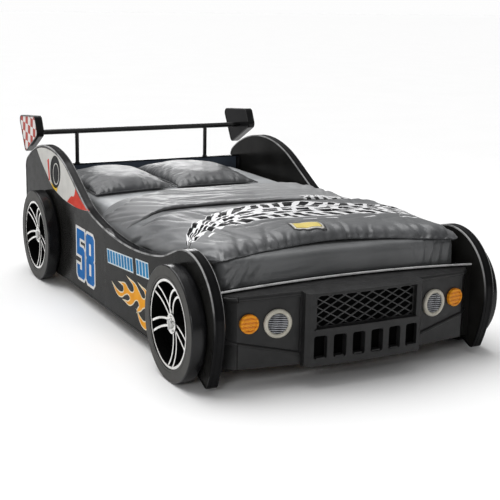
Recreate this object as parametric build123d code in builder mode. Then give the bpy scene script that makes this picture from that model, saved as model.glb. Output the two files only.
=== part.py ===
"""Children's race-car bed, in millimetres.

+Z is up, the bumper faces -Y, the headboard and its wing are at +Y, and X runs across the bed.
The origin is on the floor, under the middle of the bed's bounding box.
"""

import math
import os

from build123d import *

os.makedirs("parts", exist_ok=True)

# Driving dimensions
LENGTH = 2260.0  # nose of the bumper to the tail of the wing plates
PANEL_SPAN = 1150.0  # across the outer faces of the side panels
NOSE_OVERHANG = 290.0  # nose of the bumper ahead of the front axle
WHEELBASE = 1556.0
WHEEL_RADIUS = 206.0
TREAD_WIDTH = 60.0
MATTRESS_WIDTH = 984.0
MATTRESS_LENGTH = 1900.0
MATTRESS_HEIGHT = 190.0
SLAT_TOP = 250.0
WING_HEIGHT = 650.0  # centre of the wing bar above the floor

# Side panels
BOARD = 36.0
TRIM_WIDTH = 40.0
TRIM_DEPTH = 6.0
TRIM_CHAMFER = 2.0
GROOVE = 1.2
GROOVE_WIDTH = 2.0
GROOVES_AT = (10.0, 28.0)  # across the trim
SILL = 50.0
FIN_TOP = 622.0
SEAM_GAP = 1.0
SEAM_FROM_AXLE = 785.0
SEAM_PLATE = 3.0
SEAM_PLATE_HEIGHT = 130.0
SEAM_SCREW_DEPTH = 20.0
SEAM_SCREW_HOLE = 3.1
SEAM_SCREW_PITCH = (100.0, 80.0)

# Cross boards
CROSS_BOARD = 20.0
HEADBOARD_TOP = 492.0
FRONT_BOARD_FACE = -160.0
HEADBOARD_FACE = 1786.0

# Derived places
FRONT_AXLE_Y = NOSE_OVERHANG - LENGTH / 2
REAR_AXLE_Y = FRONT_AXLE_Y + WHEELBASE
SIDE_CENTRE = (PANEL_SPAN - TRIM_WIDTH) / 2
SIDE_INNER = SIDE_CENTRE - BOARD / 2
SIDE_OUTER = SIDE_CENTRE + BOARD / 2
TREAD_OUTER = PANEL_SPAN / 2 + TREAD_WIDTH
SEAM_Y = FRONT_AXLE_Y + SEAM_FROM_AXLE
SIDES = {"left": -1, "right": 1}
AXLES = {"front": FRONT_AXLE_Y, "rear": REAR_AXLE_Y}


def from_axle(distance):
    """Y of a point that lies this far behind the front axle."""
    return FRONT_AXLE_Y + distance


def side_point(behind_axle, height):
    """A point of the side view: distance behind the front axle, and height."""
    return (from_axle(behind_axle), height)


def polar(radius, degrees):
    """A point at this radius and angle about a sketch's origin."""
    angle = math.radians(degrees)
    return (radius * math.cos(angle), radius * math.sin(angle))


def save(builder, name):
    """Label one finished piece and write its STEP file."""
    builder.part.label = name
    export_step(builder.part, f"parts/{name}.step")


# ---------------------------------------------------------------- side panels


def side_outline():
    """The car's side view: tail fin, low sill line, front fender and the toe under it."""
    with BuildLine() as outline:
        tail = Line(side_point(1890, SILL + 25), side_point(1890, 470))
        fin_back = TangentArc(tail @ 1, side_point(1860, 525), tangent=tail % 1)
        fin_top = TangentArc(fin_back @ 1, side_point(1530, FIN_TOP), tangent=fin_back % 1)
        fin_front = TangentArc(fin_top @ 1, side_point(1225, 545), tangent=(-1, 0))
        slope = Line(fin_front @ 1, side_point(1060, 456))
        hollow_rear = TangentArc(slope @ 1, side_point(930, 408), tangent=slope % 1)
        hollow = TangentArc(hollow_rear @ 1, side_point(530, 366), tangent=hollow_rear % 1)
        rise = TangentArc(hollow @ 1, side_point(216, 396), tangent=(-1, 0))
        fender_foot = TangentArc(rise @ 1, side_point(150, 415), tangent=rise % 1)
        fender_slope = Line(fender_foot @ 1, side_point(60, 450))
        fender_peak = TangentArc(fender_slope @ 1, side_point(-25, 466), tangent=fender_slope % 1)
        fender_round = TangentArc(fender_peak @ 1, side_point(-252, 220), tangent=(-1, 0))
        nose = TangentArc(fender_round @ 1, side_point(-202, 34), tangent=fender_round % 1)
        toe = TangentArc(nose @ 1, side_point(-168, 30), tangent=nose % 1)
        toe_back = Line(toe @ 1, side_point(-120, SILL))
        sill = Line(toe_back @ 1, side_point(1865, SILL))
        TangentArc(sill @ 1, tail @ 0, tangent=(1, 0))
    return outline.edges()


def draw_side_outline(mode=Mode.ADD):
    """Fill the side outline in the sketch that is being drawn."""
    make_face(SIDE_OUTLINE, mode=mode)


SIDE_OUTLINE = side_outline()


def keep_half(end):
    """Keep only the front or the rear part of the side outline, up to the seam."""
    sign = 1 if end == "rear" else -1
    middle = SEAM_Y + sign * (LENGTH + SEAM_GAP) / 2
    with Locations((middle, HEADBOARD_TOP)):
        Rectangle(LENGTH, 4 * HEADBOARD_TOP, mode=Mode.INTERSECT)


def seam_screw_circles(radius, mode=Mode.ADD):
    """Circles at the four screw places of a seam plate, in a side-view sketch."""
    with Locations((SEAM_Y, SEAM_PLATE_HEIGHT)):
        with GridLocations(*SEAM_SCREW_PITCH, 2, 2):
            Circle(radius, mode=mode)


def make_side_board(side, end):
    """One lacquered board of a side panel, inside its edge trim."""
    low_x = SIDES[side] * SIDE_CENTRE - BOARD / 2
    with BuildPart() as board:
        with BuildSketch(Plane.YZ.offset(low_x)):
            draw_side_outline()
            offset(amount=-TRIM_DEPTH, kind=Kind.ARC)
            keep_half(end)
        extrude(amount=BOARD)
        inner_face = SIDES[side] * SIDE_INNER
        with BuildSketch(Plane.YZ.offset(inner_face)):
            seam_screw_circles(SEAM_SCREW_HOLE)
        extrude(amount=SIDES[side] * (SEAM_SCREW_DEPTH + 1), mode=Mode.SUBTRACT)
    save(board, f"side_board_{side}_{end}")


def make_edge_trim(side, end):
    """Grooved T-moulding that runs round the edge of a side board."""
    low_x = SIDES[side] * SIDE_CENTRE - TRIM_WIDTH / 2
    with BuildSketch(Plane.YZ.offset(low_x)) as inside:
        draw_side_outline()
        offset(amount=-TRIM_DEPTH, kind=Kind.ARC)
    with BuildSketch(Plane.YZ.offset(low_x)) as floor_of_groove:
        draw_side_outline()
        offset(amount=-GROOVE, kind=Kind.ARC)
    with BuildPart() as trim:
        with BuildSketch(Plane.YZ.offset(low_x)):
            draw_side_outline()
            keep_half(end)
        extrude(amount=TRIM_WIDTH)
        for face_x in (low_x, low_x + TRIM_WIDTH):
            outer_edges = trim.edges().filter_by_position(Axis.X, face_x - 0.1, face_x + 0.1)
            chamfer(outer_edges.filter_by(GeomType.LINE, reverse=True), length=TRIM_CHAMFER)
        for groove_x in GROOVES_AT:
            with BuildSketch(Plane.YZ.offset(low_x + groove_x)):
                draw_side_outline()
                add(floor_of_groove.sketch_local, mode=Mode.SUBTRACT)
            extrude(amount=GROOVE_WIDTH, mode=Mode.SUBTRACT)
        with BuildSketch(Plane.YZ.offset(low_x)):
            add(inside.sketch_local)
        extrude(amount=TRIM_WIDTH, mode=Mode.SUBTRACT)
    save(trim, f"edge_trim_{side}_{end}")


def make_seam_plate(side):
    """Steel plate on the inner face that joins the front board to the rear board."""
    with BuildPart() as plate:
        with BuildSketch(Plane.YZ.offset(SIDES[side] * SIDE_INNER)):
            with Locations((SEAM_Y, SEAM_PLATE_HEIGHT)):
                RectangleRounded(140, 120, radius=10)
            seam_screw_circles(SEAM_SCREW_HOLE, mode=Mode.SUBTRACT)
        extrude(amount=-SIDES[side] * SEAM_PLATE)
    save(plate, f"seam_plate_{side}")


def make_seam_screws():
    """Pan-head screws of both seam plates."""
    with BuildPart() as screws:
        for side in SIDES:
            inward = -SIDES[side]
            face = SIDES[side] * SIDE_INNER
            with BuildSketch(Plane.YZ.offset(face - inward * SEAM_SCREW_DEPTH)):
                seam_screw_circles(3.0)
            extrude(amount=inward * (SEAM_SCREW_DEPTH + SEAM_PLATE))
            with BuildSketch(Plane.YZ.offset(face + inward * SEAM_PLATE)):
                seam_screw_circles(6.0)
            extrude(amount=inward * 3.5)
    save(screws, "seam_screws")


for side_name in SIDES:
    for end_name in AXLES:
        make_side_board(side_name, end_name)
        make_edge_trim(side_name, end_name)
    make_seam_plate(side_name)
make_seam_screws()


# --------------------------------------------------------------------- wheels

RIM_RADIUS = 157.0
RIM_CLEARANCE = 2.5
RIM_LIP = 9.0
RIM_SETBACK = 3.0  # rim's face behind the tyre's side ring
HUB_FACE = 15.0  # hub's face behind the tyre's side ring
SPOKE_WIDTH = 8.0
BACKING = 12.0
SPOKE_PAIRS = ((117, 137), (95, 58), (-10, -15), (-52, -84), (186, 198))  # angles at the hub and at the ring
BOLT_CIRCLE = 27.0


def radial_plane(side, axle_y):
    """Sketch plane through the axle: local x is the distance from the bed's middle, local y the radius."""
    origin = (0, axle_y, WHEEL_RADIUS)
    return Plane(origin=origin, x_dir=(SIDES[side], 0, 0), z_dir=(0, -SIDES[side], 0))


def wheel_plane(side, axle_y, stand):
    """Sketch plane across the axle at this distance from the bed's middle, local y upward."""
    origin = (SIDES[side] * stand, axle_y, WHEEL_RADIUS)
    return Plane(origin=origin, x_dir=(0, -1, 0), z_dir=(-1, 0, 0))


def outward(side, amount):
    """Extrusion from a wheel plane, away from the bed."""
    return -SIDES[side] * amount


def make_tyre(side, end):
    """Tyre with a flat side ring and a rounded shoulder."""
    axle_y = AXLES[end]
    inner = PANEL_SPAN / 2
    bore = RIM_RADIUS + RIM_CLEARANCE
    with BuildPart() as tyre:
        with BuildSketch(radial_plane(side, axle_y)) as section:
            with BuildLine():
                Polyline(
                    (inner, bore),
                    (inner, WHEEL_RADIUS),
                    (TREAD_OUTER, WHEEL_RADIUS),
                    (TREAD_OUTER, bore),
                    close=True,
                )
            make_face()
            shoulders = section.vertices().group_by(Axis.Y)[-1].sort_by(Axis.X)
            fillet(shoulders[0], radius=14)
            fillet(section.vertices().group_by(Axis.Y)[-1].sort_by(Axis.X)[-1], radius=5)
            with Locations((TREAD_OUTER, RIM_RADIUS + 12)):
                Rectangle(2.4, 1.6, mode=Mode.SUBTRACT)
        revolve(axis=Axis((0, axle_y, WHEEL_RADIUS), (1, 0, 0)))
    save(tyre, f"tyre_{side}_{end}")


def make_wheel_backing(side, end):
    """Dark dished disc that closes the wheel behind its spokes."""
    axle_y = AXLES[end]
    with BuildPart() as backing:
        with BuildSketch(wheel_plane(side, axle_y, SIDE_OUTER)):
            Circle(140)
        extrude(amount=outward(side, 3))
        with BuildSketch(wheel_plane(side, axle_y, PANEL_SPAN / 2 + 0.5)):
            Circle(RIM_RADIUS)
        extrude(amount=outward(side, BACKING))
    save(backing, f"wheel_backing_{side}_{end}")


def make_rim(side, end):
    """Rim ring, twin curved spokes and hub in one casting."""
    axle_y = AXLES[end]
    base = PANEL_SPAN / 2 + BACKING + 0.5
    ring_face = TREAD_OUTER - RIM_SETBACK
    plane = wheel_plane(side, axle_y, base)
    with BuildPart() as rim:
        with BuildSketch(plane):
            Circle(RIM_RADIUS)
            Circle(RIM_RADIUS - RIM_LIP, mode=Mode.SUBTRACT)
        extrude(amount=outward(side, ring_face - base))
        for hub_angle, ring_angle in SPOKE_PAIRS:
            for spread in (-1, 1):
                foot = polar(26, hub_angle + spread * 24)
                tip = polar(RIM_RADIUS - 5, ring_angle + spread * 7)
                with BuildSketch(wheel_plane(side, axle_y, base + 14)):
                    with BuildLine():
                        TangentArc(foot, tip, tangent=polar(1, hub_angle + spread * 6))
                    trace(line_width=SPOKE_WIDTH)
                extrude(amount=outward(side, ring_face - base - 16))
        with BuildSketch(radial_plane(side, axle_y)):
            with BuildLine():
                Polyline(
                    (ring_face - 2, RIM_RADIUS - RIM_LIP),
                    (ring_face - 16, 30),
                    (ring_face - 16, 0),
                    (ring_face + 8, 0),
                    (ring_face + 8, RIM_RADIUS - RIM_LIP),
                    close=True,
                )
            make_face()
        revolve(axis=Axis((0, axle_y, WHEEL_RADIUS), (1, 0, 0)), mode=Mode.SUBTRACT)
        with BuildSketch(plane):
            Circle(36)
        extrude(amount=outward(side, ring_face - base - 12))
    save(rim, f"rim_{side}_{end}")


def make_hub_caps():
    """Domed caps in the middle of the rims."""
    face = TREAD_OUTER - HUB_FACE
    with BuildPart() as caps:
        for side in SIDES:
            for axle_y in AXLES.values():
                with BuildSketch(wheel_plane(side, axle_y, face)):
                    Circle(18)
                extrude(amount=outward(side, 7))
        rims = caps.edges().filter_by(GeomType.CIRCLE)
        outer_rims = rims.filter_by(lambda edge: abs(edge.center().X) > face + 3)
        fillet(outer_rims, radius=4)
    save(caps, "hub_caps")


def make_wheel_bolts():
    """Five bolt heads round each hub cap."""
    face = TREAD_OUTER - HUB_FACE
    with BuildPart() as bolts:
        for side in SIDES:
            for axle_y in AXLES.values():
                with BuildSketch(wheel_plane(side, axle_y, face)):
                    with PolarLocations(BOLT_CIRCLE, 5, start_angle=90):
                        RegularPolygon(4.2, 6)
                extrude(amount=outward(side, 4))
    save(bolts, "wheel_bolts")


for side_name in SIDES:
    for end_name in AXLES:
        make_tyre(side_name, end_name)
        make_wheel_backing(side_name, end_name)
        make_rim(side_name, end_name)
make_hub_caps()
make_wheel_bolts()


# ------------------------------------------------- front board and its bumper

CROWN = 16.0  # rise of the front board's top edge at the middle
FRONT_BOARD_TOP = 339.0  # at the ends
BOARD_FOOT = SILL + 15
BUMPER_FOOT = 80.0
BUMPER_WALL = 14.0
BUMPER_END_X = 505.0
BUMPER_SEAM_X = 467.0
SIDE_FACE = -236.0  # the bumper's side face where it meets the centre part
SEAM_FACE = -206.0  # the bumper's side face at the moulded seam
END_FACE = -168.0
CENTRE_HALF = 240.0
CENTRE_BACK = -262.0  # flat inner face behind the grille
HOOD_DROP = 6.0
HOOD_FALL = 0.08
HOOD_INSIDE = 318.0
RECESS = 6.0
BEAD_RADIUS = 9.0
RIDGE_RADIUS = 6.0
GRILLE_HALF = 205.0
GRILLE_LOW = 212.0
GRILLE_HIGH = 328.0
SLOT_PITCH = 75.0
SLOT_COUNT = 6
SLOT_HEIGHT = 82.0
SLOT_MIDDLE = 146.0
MESH_DEPTH = 6.0
MESH_PITCH_X = 56.0
MESH_PITCH_Z = 30.5
MESH_WIRE = 4.0
MESH_FRAME = 8.0
LAMP_X = 323.0
LAMP_HEIGHT = 232.0
INDICATOR_X = 426.0
INDICATOR_HEIGHT = 239.0
LAMP_RADIUS = 50.5
LENS_RADIUS = 37.0
INDICATOR_RADIUS = 33.5
INDICATOR_FACE = 25.0
BUMPER_SCREW_HOLE = 2.6
BUMPER_SCREWS_X = (-400.0, -140.0, 140.0, 400.0)
BUMPER_SCREW_HEIGHT = 328.0

FACE_SLOPE = (SEAM_FACE - SIDE_FACE) / (BUMPER_SEAM_X - CENTRE_HALF)
FACE_ANGLE = math.atan(FACE_SLOPE)


def side_face(x, setback=0.0):
    """Distance behind the front axle of the bumper's side face, at this distance from the middle."""
    return SIDE_FACE + FACE_SLOPE * (abs(x) - CENTRE_HALF) + setback


def cross_outline(low, high, crown):
    """Front view of a board between the side panels, with a crowned top edge."""
    with BuildLine() as outline:
        Line((-SIDE_INNER, high), (-SIDE_INNER, low))
        Line((-SIDE_INNER, low), (SIDE_INNER, low))
        Line((SIDE_INNER, low), (SIDE_INNER, high))
        ThreePointArc((SIDE_INNER, high), (0, high + crown), (-SIDE_INNER, high))
    return outline.edges()


def front_plane(distance):
    """Upright sketch plane across the bed, this far behind the front axle."""
    return Plane.XZ.offset(-from_axle(distance))


def make_front_board():
    """Cross board at the foot end, which carries the bumper and the slat frame."""
    with BuildPart() as board:
        with BuildSketch(front_plane(FRONT_BOARD_FACE)):
            make_face(cross_outline(BOARD_FOOT, FRONT_BOARD_TOP, CROWN))
            with Locations(*[(x, BUMPER_SCREW_HEIGHT) for x in BUMPER_SCREWS_X]):
                Circle(BUMPER_SCREW_HOLE, mode=Mode.SUBTRACT)
        extrude(amount=-CROSS_BOARD)
    save(board, "front_board")


def make_front_trim():
    """Polished moulding along the front board's crowned top edge."""
    with BuildPart() as trim:
        with BuildSketch(front_plane(FRONT_BOARD_FACE - 2)):
            make_face(cross_outline(BOARD_FOOT, FRONT_BOARD_TOP + TRIM_DEPTH, CROWN))
            make_face(cross_outline(BOARD_FOOT, FRONT_BOARD_TOP, CROWN), mode=Mode.SUBTRACT)
        extrude(amount=-(CROSS_BOARD + 4))
        top_face = trim.faces().sort_by(Axis.Z)[-1]
        fillet(top_face.edges().filter_by(GeomType.CIRCLE), radius=2.5)
    save(trim, "front_board_trim")


def bumper_plan(setback):
    """The bumper's outline from above, this far inside its outer surface."""
    nose = from_axle(-NOSE_OVERHANG)
    corner = (CENTRE_HALF - 14, nose + 12)
    right = [
        corner,
        (CENTRE_HALF, nose + 28),
        (CENTRE_HALF, from_axle(SIDE_FACE)),
        (BUMPER_SEAM_X, from_axle(SEAM_FACE)),
        (BUMPER_END_X, from_axle(END_FACE)),
        (BUMPER_END_X, from_axle(FRONT_BOARD_FACE)),
    ]
    if setback:
        right = [
            (CENTRE_HALF - setback, from_axle(CENTRE_BACK)),
            (CENTRE_HALF - setback, from_axle(SIDE_FACE + setback)),
            (BUMPER_SEAM_X - setback / 2, from_axle(SEAM_FACE + setback)),
            (BUMPER_END_X - setback, from_axle(END_FACE + setback / 2)),
            (BUMPER_END_X - setback, from_axle(FRONT_BOARD_FACE)),
        ]
    left = [(-x, y) for x, y in right]
    with BuildLine() as plan:
        if setback:
            Line(left[0], right[0])
        else:
            ThreePointArc(left[0], (0, nose), right[0])
        Polyline(*right)
        Line(right[-1], left[-1])
        Polyline(*left)
    return plan.edges()


def make_lamp_recess():
    """Shallow tapered recesses that hold the lamps, one on each side of the grille."""
    inner_x = CENTRE_HALF + 4
    outer_x = BUMPER_END_X + 20
    in_front = from_axle(-NOSE_OVERHANG)
    with BuildPart() as recess:
        with BuildSketch(Plane.XY.offset(BUMPER_FOOT)):
            with BuildLine():
                Polyline(
                    (inner_x, from_axle(side_face(inner_x, RECESS))),
                    (BUMPER_SEAM_X, from_axle(SEAM_FACE + RECESS)),
                    (outer_x, from_axle(END_FACE + RECESS + 14)),
                    (outer_x, in_front),
                    (inner_x, in_front),
                    close=True,
                )
            make_face()
        extrude(amount=FRONT_BOARD_TOP)
        with BuildSketch(front_plane(-NOSE_OVERHANG)):
            with BuildLine():
                Polyline(
                    (inner_x, 122),
                    (BUMPER_SEAM_X, 172),
                    (outer_x, 178),
                    (outer_x, 312),
                    (inner_x, 320),
                    close=True,
                )
            make_face()
        extrude(amount=-200, mode=Mode.INTERSECT)
        mirror(about=Plane.YZ)
    return recess.part


def make_rods(corners, radius):
    """Round beads that run from corner to corner along the bumper, on both sides of the bed."""
    with BuildPart() as rods:
        for start, stop in zip(corners[:-1], corners[1:]):
            run = Vector(*stop) - Vector(*start)
            with BuildSketch(Plane(origin=start, z_dir=run.normalized())):
                Circle(radius)
            extrude(amount=run.length)
        with Locations(*corners[1:]):
            Sphere(radius)
        mirror(about=Plane.YZ)
    return rods.part


def make_bumper():
    """Moulded bumper and hood lip: a shell with lamp recesses, a grille opening and cooling slots."""
    top = FRONT_BOARD_TOP + CROWN + 20
    hood_edge = FRONT_BOARD_TOP - HOOD_DROP
    end_y = from_axle(END_FACE - 2)
    bead_path = [
        (CENTRE_HALF + 2, from_axle(side_face(CENTRE_HALF, 6)), 330),
        (BUMPER_SEAM_X, from_axle(SEAM_FACE + 6), 324),
        (BUMPER_END_X - 5, end_y, 322),
    ]
    ridge_path = [
        (CENTRE_HALF + 4, from_axle(side_face(CENTRE_HALF, 4)), 119),
        (BUMPER_SEAM_X, from_axle(SEAM_FACE + 4), 169),
        (BUMPER_END_X - 2, end_y, 175),
    ]
    beads = make_rods(bead_path, BEAD_RADIUS)
    ridges = make_rods(ridge_path, RIDGE_RADIUS)
    lamp_recess = make_lamp_recess()
    with BuildPart() as bumper:
        with BuildSketch(Plane.XY.offset(BUMPER_FOOT)):
            make_face(bumper_plan(0))
        extrude(amount=top - BUMPER_FOOT)
        with BuildSketch(Plane.XY.offset(BUMPER_FOOT)):
            make_face(bumper_plan(BUMPER_WALL))
        extrude(amount=HOOD_INSIDE - BUMPER_FOOT, mode=Mode.SUBTRACT)
        with BuildSketch(front_plane(FRONT_BOARD_FACE)):
            with BuildLine():
                ThreePointArc((-SIDE_INNER, hood_edge), (0, hood_edge + CROWN), (SIDE_INNER, hood_edge))
                Line((SIDE_INNER, hood_edge), (SIDE_INNER, top + 40))
                Line((SIDE_INNER, top + 40), (-SIDE_INNER, top + 40))
                Line((-SIDE_INNER, top + 40), (-SIDE_INNER, hood_edge))
            make_face()
        extrude(amount=200, dir=(0, -1, -HOOD_FALL), mode=Mode.SUBTRACT)
        add(lamp_recess, mode=Mode.SUBTRACT)
        add(beads)
        add(ridges)
        with BuildSketch(front_plane(-NOSE_OVERHANG - 10)):
            with Locations((0, (GRILLE_LOW + GRILLE_HIGH) / 2)):
                Rectangle(2 * GRILLE_HALF, GRILLE_HIGH - GRILLE_LOW)
            with Locations((0, SLOT_MIDDLE)):
                with GridLocations(SLOT_PITCH, 1, SLOT_COUNT, 1):
                    RectangleRounded(50, SLOT_HEIGHT, radius=9)
        extrude(amount=-60, mode=Mode.SUBTRACT)
        with BuildSketch(front_plane(-NOSE_OVERHANG + 4)):
            with Locations((0, GRILLE_LOW - 3)):
                Rectangle(2 * GRILLE_HALF + 12, 5)
            with Locations((0, SLOT_MIDDLE - SLOT_HEIGHT / 2 + 3)):
                with GridLocations(SLOT_PITCH, 1, SLOT_COUNT, 1):
                    Rectangle(34, 6)
        extrude(amount=-24)
        for side in SIDES.values():
            groove_place = (side * BUMPER_SEAM_X, from_axle(SEAM_FACE), HOOD_INSIDE - 110)
            with Locations(groove_place):
                Box(2.5, 7, 280, mode=Mode.SUBTRACT)
        with BuildSketch(front_plane(FRONT_BOARD_FACE)):
            with Locations(*[(x, BUMPER_SCREW_HEIGHT) for x in BUMPER_SCREWS_X]):
                Circle(BUMPER_SCREW_HOLE)
        extrude(amount=16, mode=Mode.SUBTRACT)
        with BuildSketch(front_plane(CENTRE_BACK)):
            with Locations((0, (GRILLE_LOW + GRILLE_HIGH) / 2)):
                Rectangle(2 * GRILLE_HALF + 17, GRILLE_HIGH - GRILLE_LOW + 15)
        extrude(amount=-MESH_DEPTH, mode=Mode.SUBTRACT)
    save(bumper, "bumper")


def make_bumper_screws():
    """Screws through the front board into the bumper's hood lip."""
    with BuildPart() as screws:
        with BuildSketch(front_plane(FRONT_BOARD_FACE - 15)):
            with Locations(*[(x, BUMPER_SCREW_HEIGHT) for x in BUMPER_SCREWS_X]):
                Circle(2.5)
        extrude(amount=-(15 + CROSS_BOARD))
        with BuildSketch(front_plane(FRONT_BOARD_FACE + CROSS_BOARD)):
            with Locations(*[(x, BUMPER_SCREW_HEIGHT) for x in BUMPER_SCREWS_X]):
                Circle(6)
        extrude(amount=-3)
    save(screws, "bumper_screws")


def make_grille_mesh():
    """Diamond mesh behind the grille opening, in a narrow frame."""
    slant = math.degrees(math.atan2(MESH_PITCH_Z, MESH_PITCH_X))
    width = 2 * GRILLE_HALF
    height = GRILLE_HIGH - GRILLE_LOW
    middle = (GRILLE_LOW + GRILLE_HIGH) / 2
    rows = math.ceil((width * MESH_PITCH_Z / MESH_PITCH_X + height) / 2 / MESH_PITCH_Z)
    with BuildPart() as mesh:
        with BuildSketch(front_plane(CENTRE_BACK)):
            for row in range(-rows, rows + 1):
                with Locations((0, middle + row * MESH_PITCH_Z)):
                    Rectangle(width * 1.3, MESH_WIRE, rotation=slant)
                    Rectangle(width * 1.3, MESH_WIRE, rotation=-slant)
            with Locations((0, middle)):
                Rectangle(width + MESH_FRAME, height + MESH_FRAME, mode=Mode.INTERSECT)
        extrude(amount=-MESH_DEPTH)
        with BuildSketch(front_plane(CENTRE_BACK)):
            with Locations((0, middle)):
                Rectangle(width + 2 * MESH_FRAME, height + 14)
                Rectangle(width - 2, height - 2, mode=Mode.SUBTRACT)
        extrude(amount=-MESH_DEPTH)
    save(mesh, "grille_mesh")


def make_grille_backing():
    """Flat plate that closes the bumper behind the mesh and the slots."""
    with BuildPart() as backing:
        with BuildSketch(front_plane(CENTRE_BACK + MESH_DEPTH)):
            with Locations((0, (BUMPER_FOOT + 14 + HOOD_INSIDE - 2) / 2)):
                Rectangle(2 * GRILLE_HALF + 20, HOOD_INSIDE - BUMPER_FOOT - 16)
        extrude(amount=-4)
    save(backing, "grille_backing")


def lamp_plane(side, x, height, proud):
    """Plane on the lamp recess, square to its slanting face, raised by this much."""
    sign = SIDES[side]
    normal = Vector(sign * math.sin(FACE_ANGLE), -math.cos(FACE_ANGLE), 0)
    face = Vector(sign * x, from_axle(side_face(x, RECESS)), height)
    across = Vector(math.cos(FACE_ANGLE), sign * math.sin(FACE_ANGLE), 0)
    return Plane(origin=face + normal * proud, x_dir=across, z_dir=normal)


def make_head_lamp(side):
    """Silver lamp ring and its ribbed lens."""
    with BuildPart() as ring:
        with BuildSketch(lamp_plane(side, LAMP_X, LAMP_HEIGHT, 0)):
            Circle(LAMP_RADIUS)
            Circle(LENS_RADIUS, mode=Mode.SUBTRACT)
        extrude(amount=12)
        rims = ring.edges().filter_by(GeomType.CIRCLE).group_by(SortBy.RADIUS)
        chamfer(rims[-1].sort_by(Axis.Y)[0], length=4)
        chamfer(rims[0].sort_by(Axis.Y)[0], length=3)
    save(ring, f"lamp_ring_{side}")
    with BuildPart() as lens:
        with BuildSketch(lamp_plane(side, LAMP_X, LAMP_HEIGHT, 0)):
            Circle(LENS_RADIUS - 0.4)
        extrude(amount=5)
        with BuildSketch(lamp_plane(side, LAMP_X, LAMP_HEIGHT, 5)):
            with GridLocations(1, 7.5, 1, 9):
                Rectangle(80, 3.4, rotation=6)
            Circle(LENS_RADIUS - 1.5, mode=Mode.INTERSECT)
        extrude(amount=2.5)
    save(lens, f"lamp_lens_{side}")


def make_indicator(side):
    """Amber indicator: a moulded rim round a ribbed face."""
    with BuildPart() as indicator:
        with BuildSketch(lamp_plane(side, INDICATOR_X, INDICATOR_HEIGHT, 0)):
            Circle(INDICATOR_RADIUS)
        extrude(amount=14)
        chamfer(indicator.edges().filter_by(GeomType.CIRCLE).sort_by(Axis.Y)[0], length=3)
        with BuildSketch(lamp_plane(side, INDICATOR_X, INDICATOR_HEIGHT, 10)):
            Circle(INDICATOR_FACE)
        extrude(amount=6, mode=Mode.SUBTRACT)
        with BuildSketch(lamp_plane(side, INDICATOR_X, INDICATOR_HEIGHT, 10)):
            with GridLocations(1, 8, 1, 6):
                Rectangle(80, 3.6, rotation=-28)
            Circle(INDICATOR_FACE, mode=Mode.INTERSECT)
        extrude(amount=2)
    save(indicator, f"indicator_{side}")


make_front_board()
make_front_trim()
make_bumper()
make_bumper_screws()
make_grille_mesh()
make_grille_backing()
for side_name in SIDES:
    make_head_lamp(side_name)
    make_indicator(side_name)


# --------------------------------------------------------- headboard and wing

HEADBOARD_TRIM_HEIGHT = 6.0
CORNER_STRIP = 18.0
HAIR = 0.01  # the headboard's top edge is straight but for this much
WING_Y = HEADBOARD_FACE + CROSS_BOARD / 2
WING_BAR_RADIUS = 12.5
POST_RADIUS = 9.5
POST_X = 343.0
PLATE_CENTRE = 557.0
PLATE_TRIM_WIDTH = 36.0
PLATE_BOARD = 32.0
PLATE_TRIM_DEPTH = 5.0
PLATE_CORNERS = ((1985.8, 716), (1722, 738), (1680, 652), (1886, 544))  # behind the front axle, and height
PLATE_ROUNDING = 24.0


def make_headboard():
    """Board across the head end, between the two fins, with a rounded strip on its top edge."""
    board_top = HEADBOARD_TOP - HEADBOARD_TRIM_HEIGHT
    with BuildPart() as board:
        with BuildSketch(front_plane(HEADBOARD_FACE)):
            make_face(cross_outline(BOARD_FOOT, board_top - HAIR, HAIR))
        extrude(amount=-CROSS_BOARD)
    save(board, "headboard")
    with BuildPart() as trim:
        with BuildSketch(Plane.YZ.offset(-SIDE_INNER)) as section:
            with Locations((from_axle(WING_Y), board_top + HEADBOARD_TRIM_HEIGHT / 2)):
                Rectangle(CROSS_BOARD + 4, HEADBOARD_TRIM_HEIGHT)
            fillet(section.vertices().group_by(Axis.Y)[-1], radius=2.5)
        extrude(amount=2 * SIDE_INNER)
    save(trim, "headboard_trim")


def make_corner_strip(side):
    """Quarter-round strip in the corner between headboard and side panel."""
    sign = SIDES[side]
    with BuildPart() as strip:
        with BuildSketch(Plane.XY.offset(SLAT_TOP)):
            with Locations((sign * SIDE_INNER, from_axle(HEADBOARD_FACE))):
                Circle(CORNER_STRIP)
            square_middle = (sign * (SIDE_INNER - CORNER_STRIP / 2), from_axle(HEADBOARD_FACE - CORNER_STRIP / 2))
            with Locations(square_middle):
                Rectangle(CORNER_STRIP, CORNER_STRIP, mode=Mode.INTERSECT)
        extrude(amount=HEADBOARD_TOP - HEADBOARD_TRIM_HEIGHT - 2 - SLAT_TOP)
    save(strip, f"corner_strip_{side}")


def make_wing_bar():
    """Round bar of the rear wing, from end plate to end plate."""
    half = PLATE_CENTRE - PLATE_BOARD / 2
    with BuildPart() as bar:
        with BuildSketch(Plane.YZ.offset(-half)):
            with Locations((from_axle(WING_Y), WING_HEIGHT)):
                Circle(WING_BAR_RADIUS)
        extrude(amount=2 * half)
    save(bar, "wing_bar")


def make_wing_post(side):
    """Round post from its flange on the headboard up into the bar's saddle."""
    x = SIDES[side] * POST_X
    with BuildPart() as post:
        with BuildSketch(Plane.XY.offset(HEADBOARD_TOP + 5)):
            with Locations((x, from_axle(WING_Y))):
                Circle(POST_RADIUS)
        extrude(amount=WING_HEIGHT - HEADBOARD_TOP - 5)
        with BuildSketch(Plane.YZ.offset(x - 30)):
            with Locations((from_axle(WING_Y), WING_HEIGHT)):
                Circle(WING_BAR_RADIUS)
        extrude(amount=60, mode=Mode.SUBTRACT)
    save(post, f"wing_post_{side}")


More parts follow.
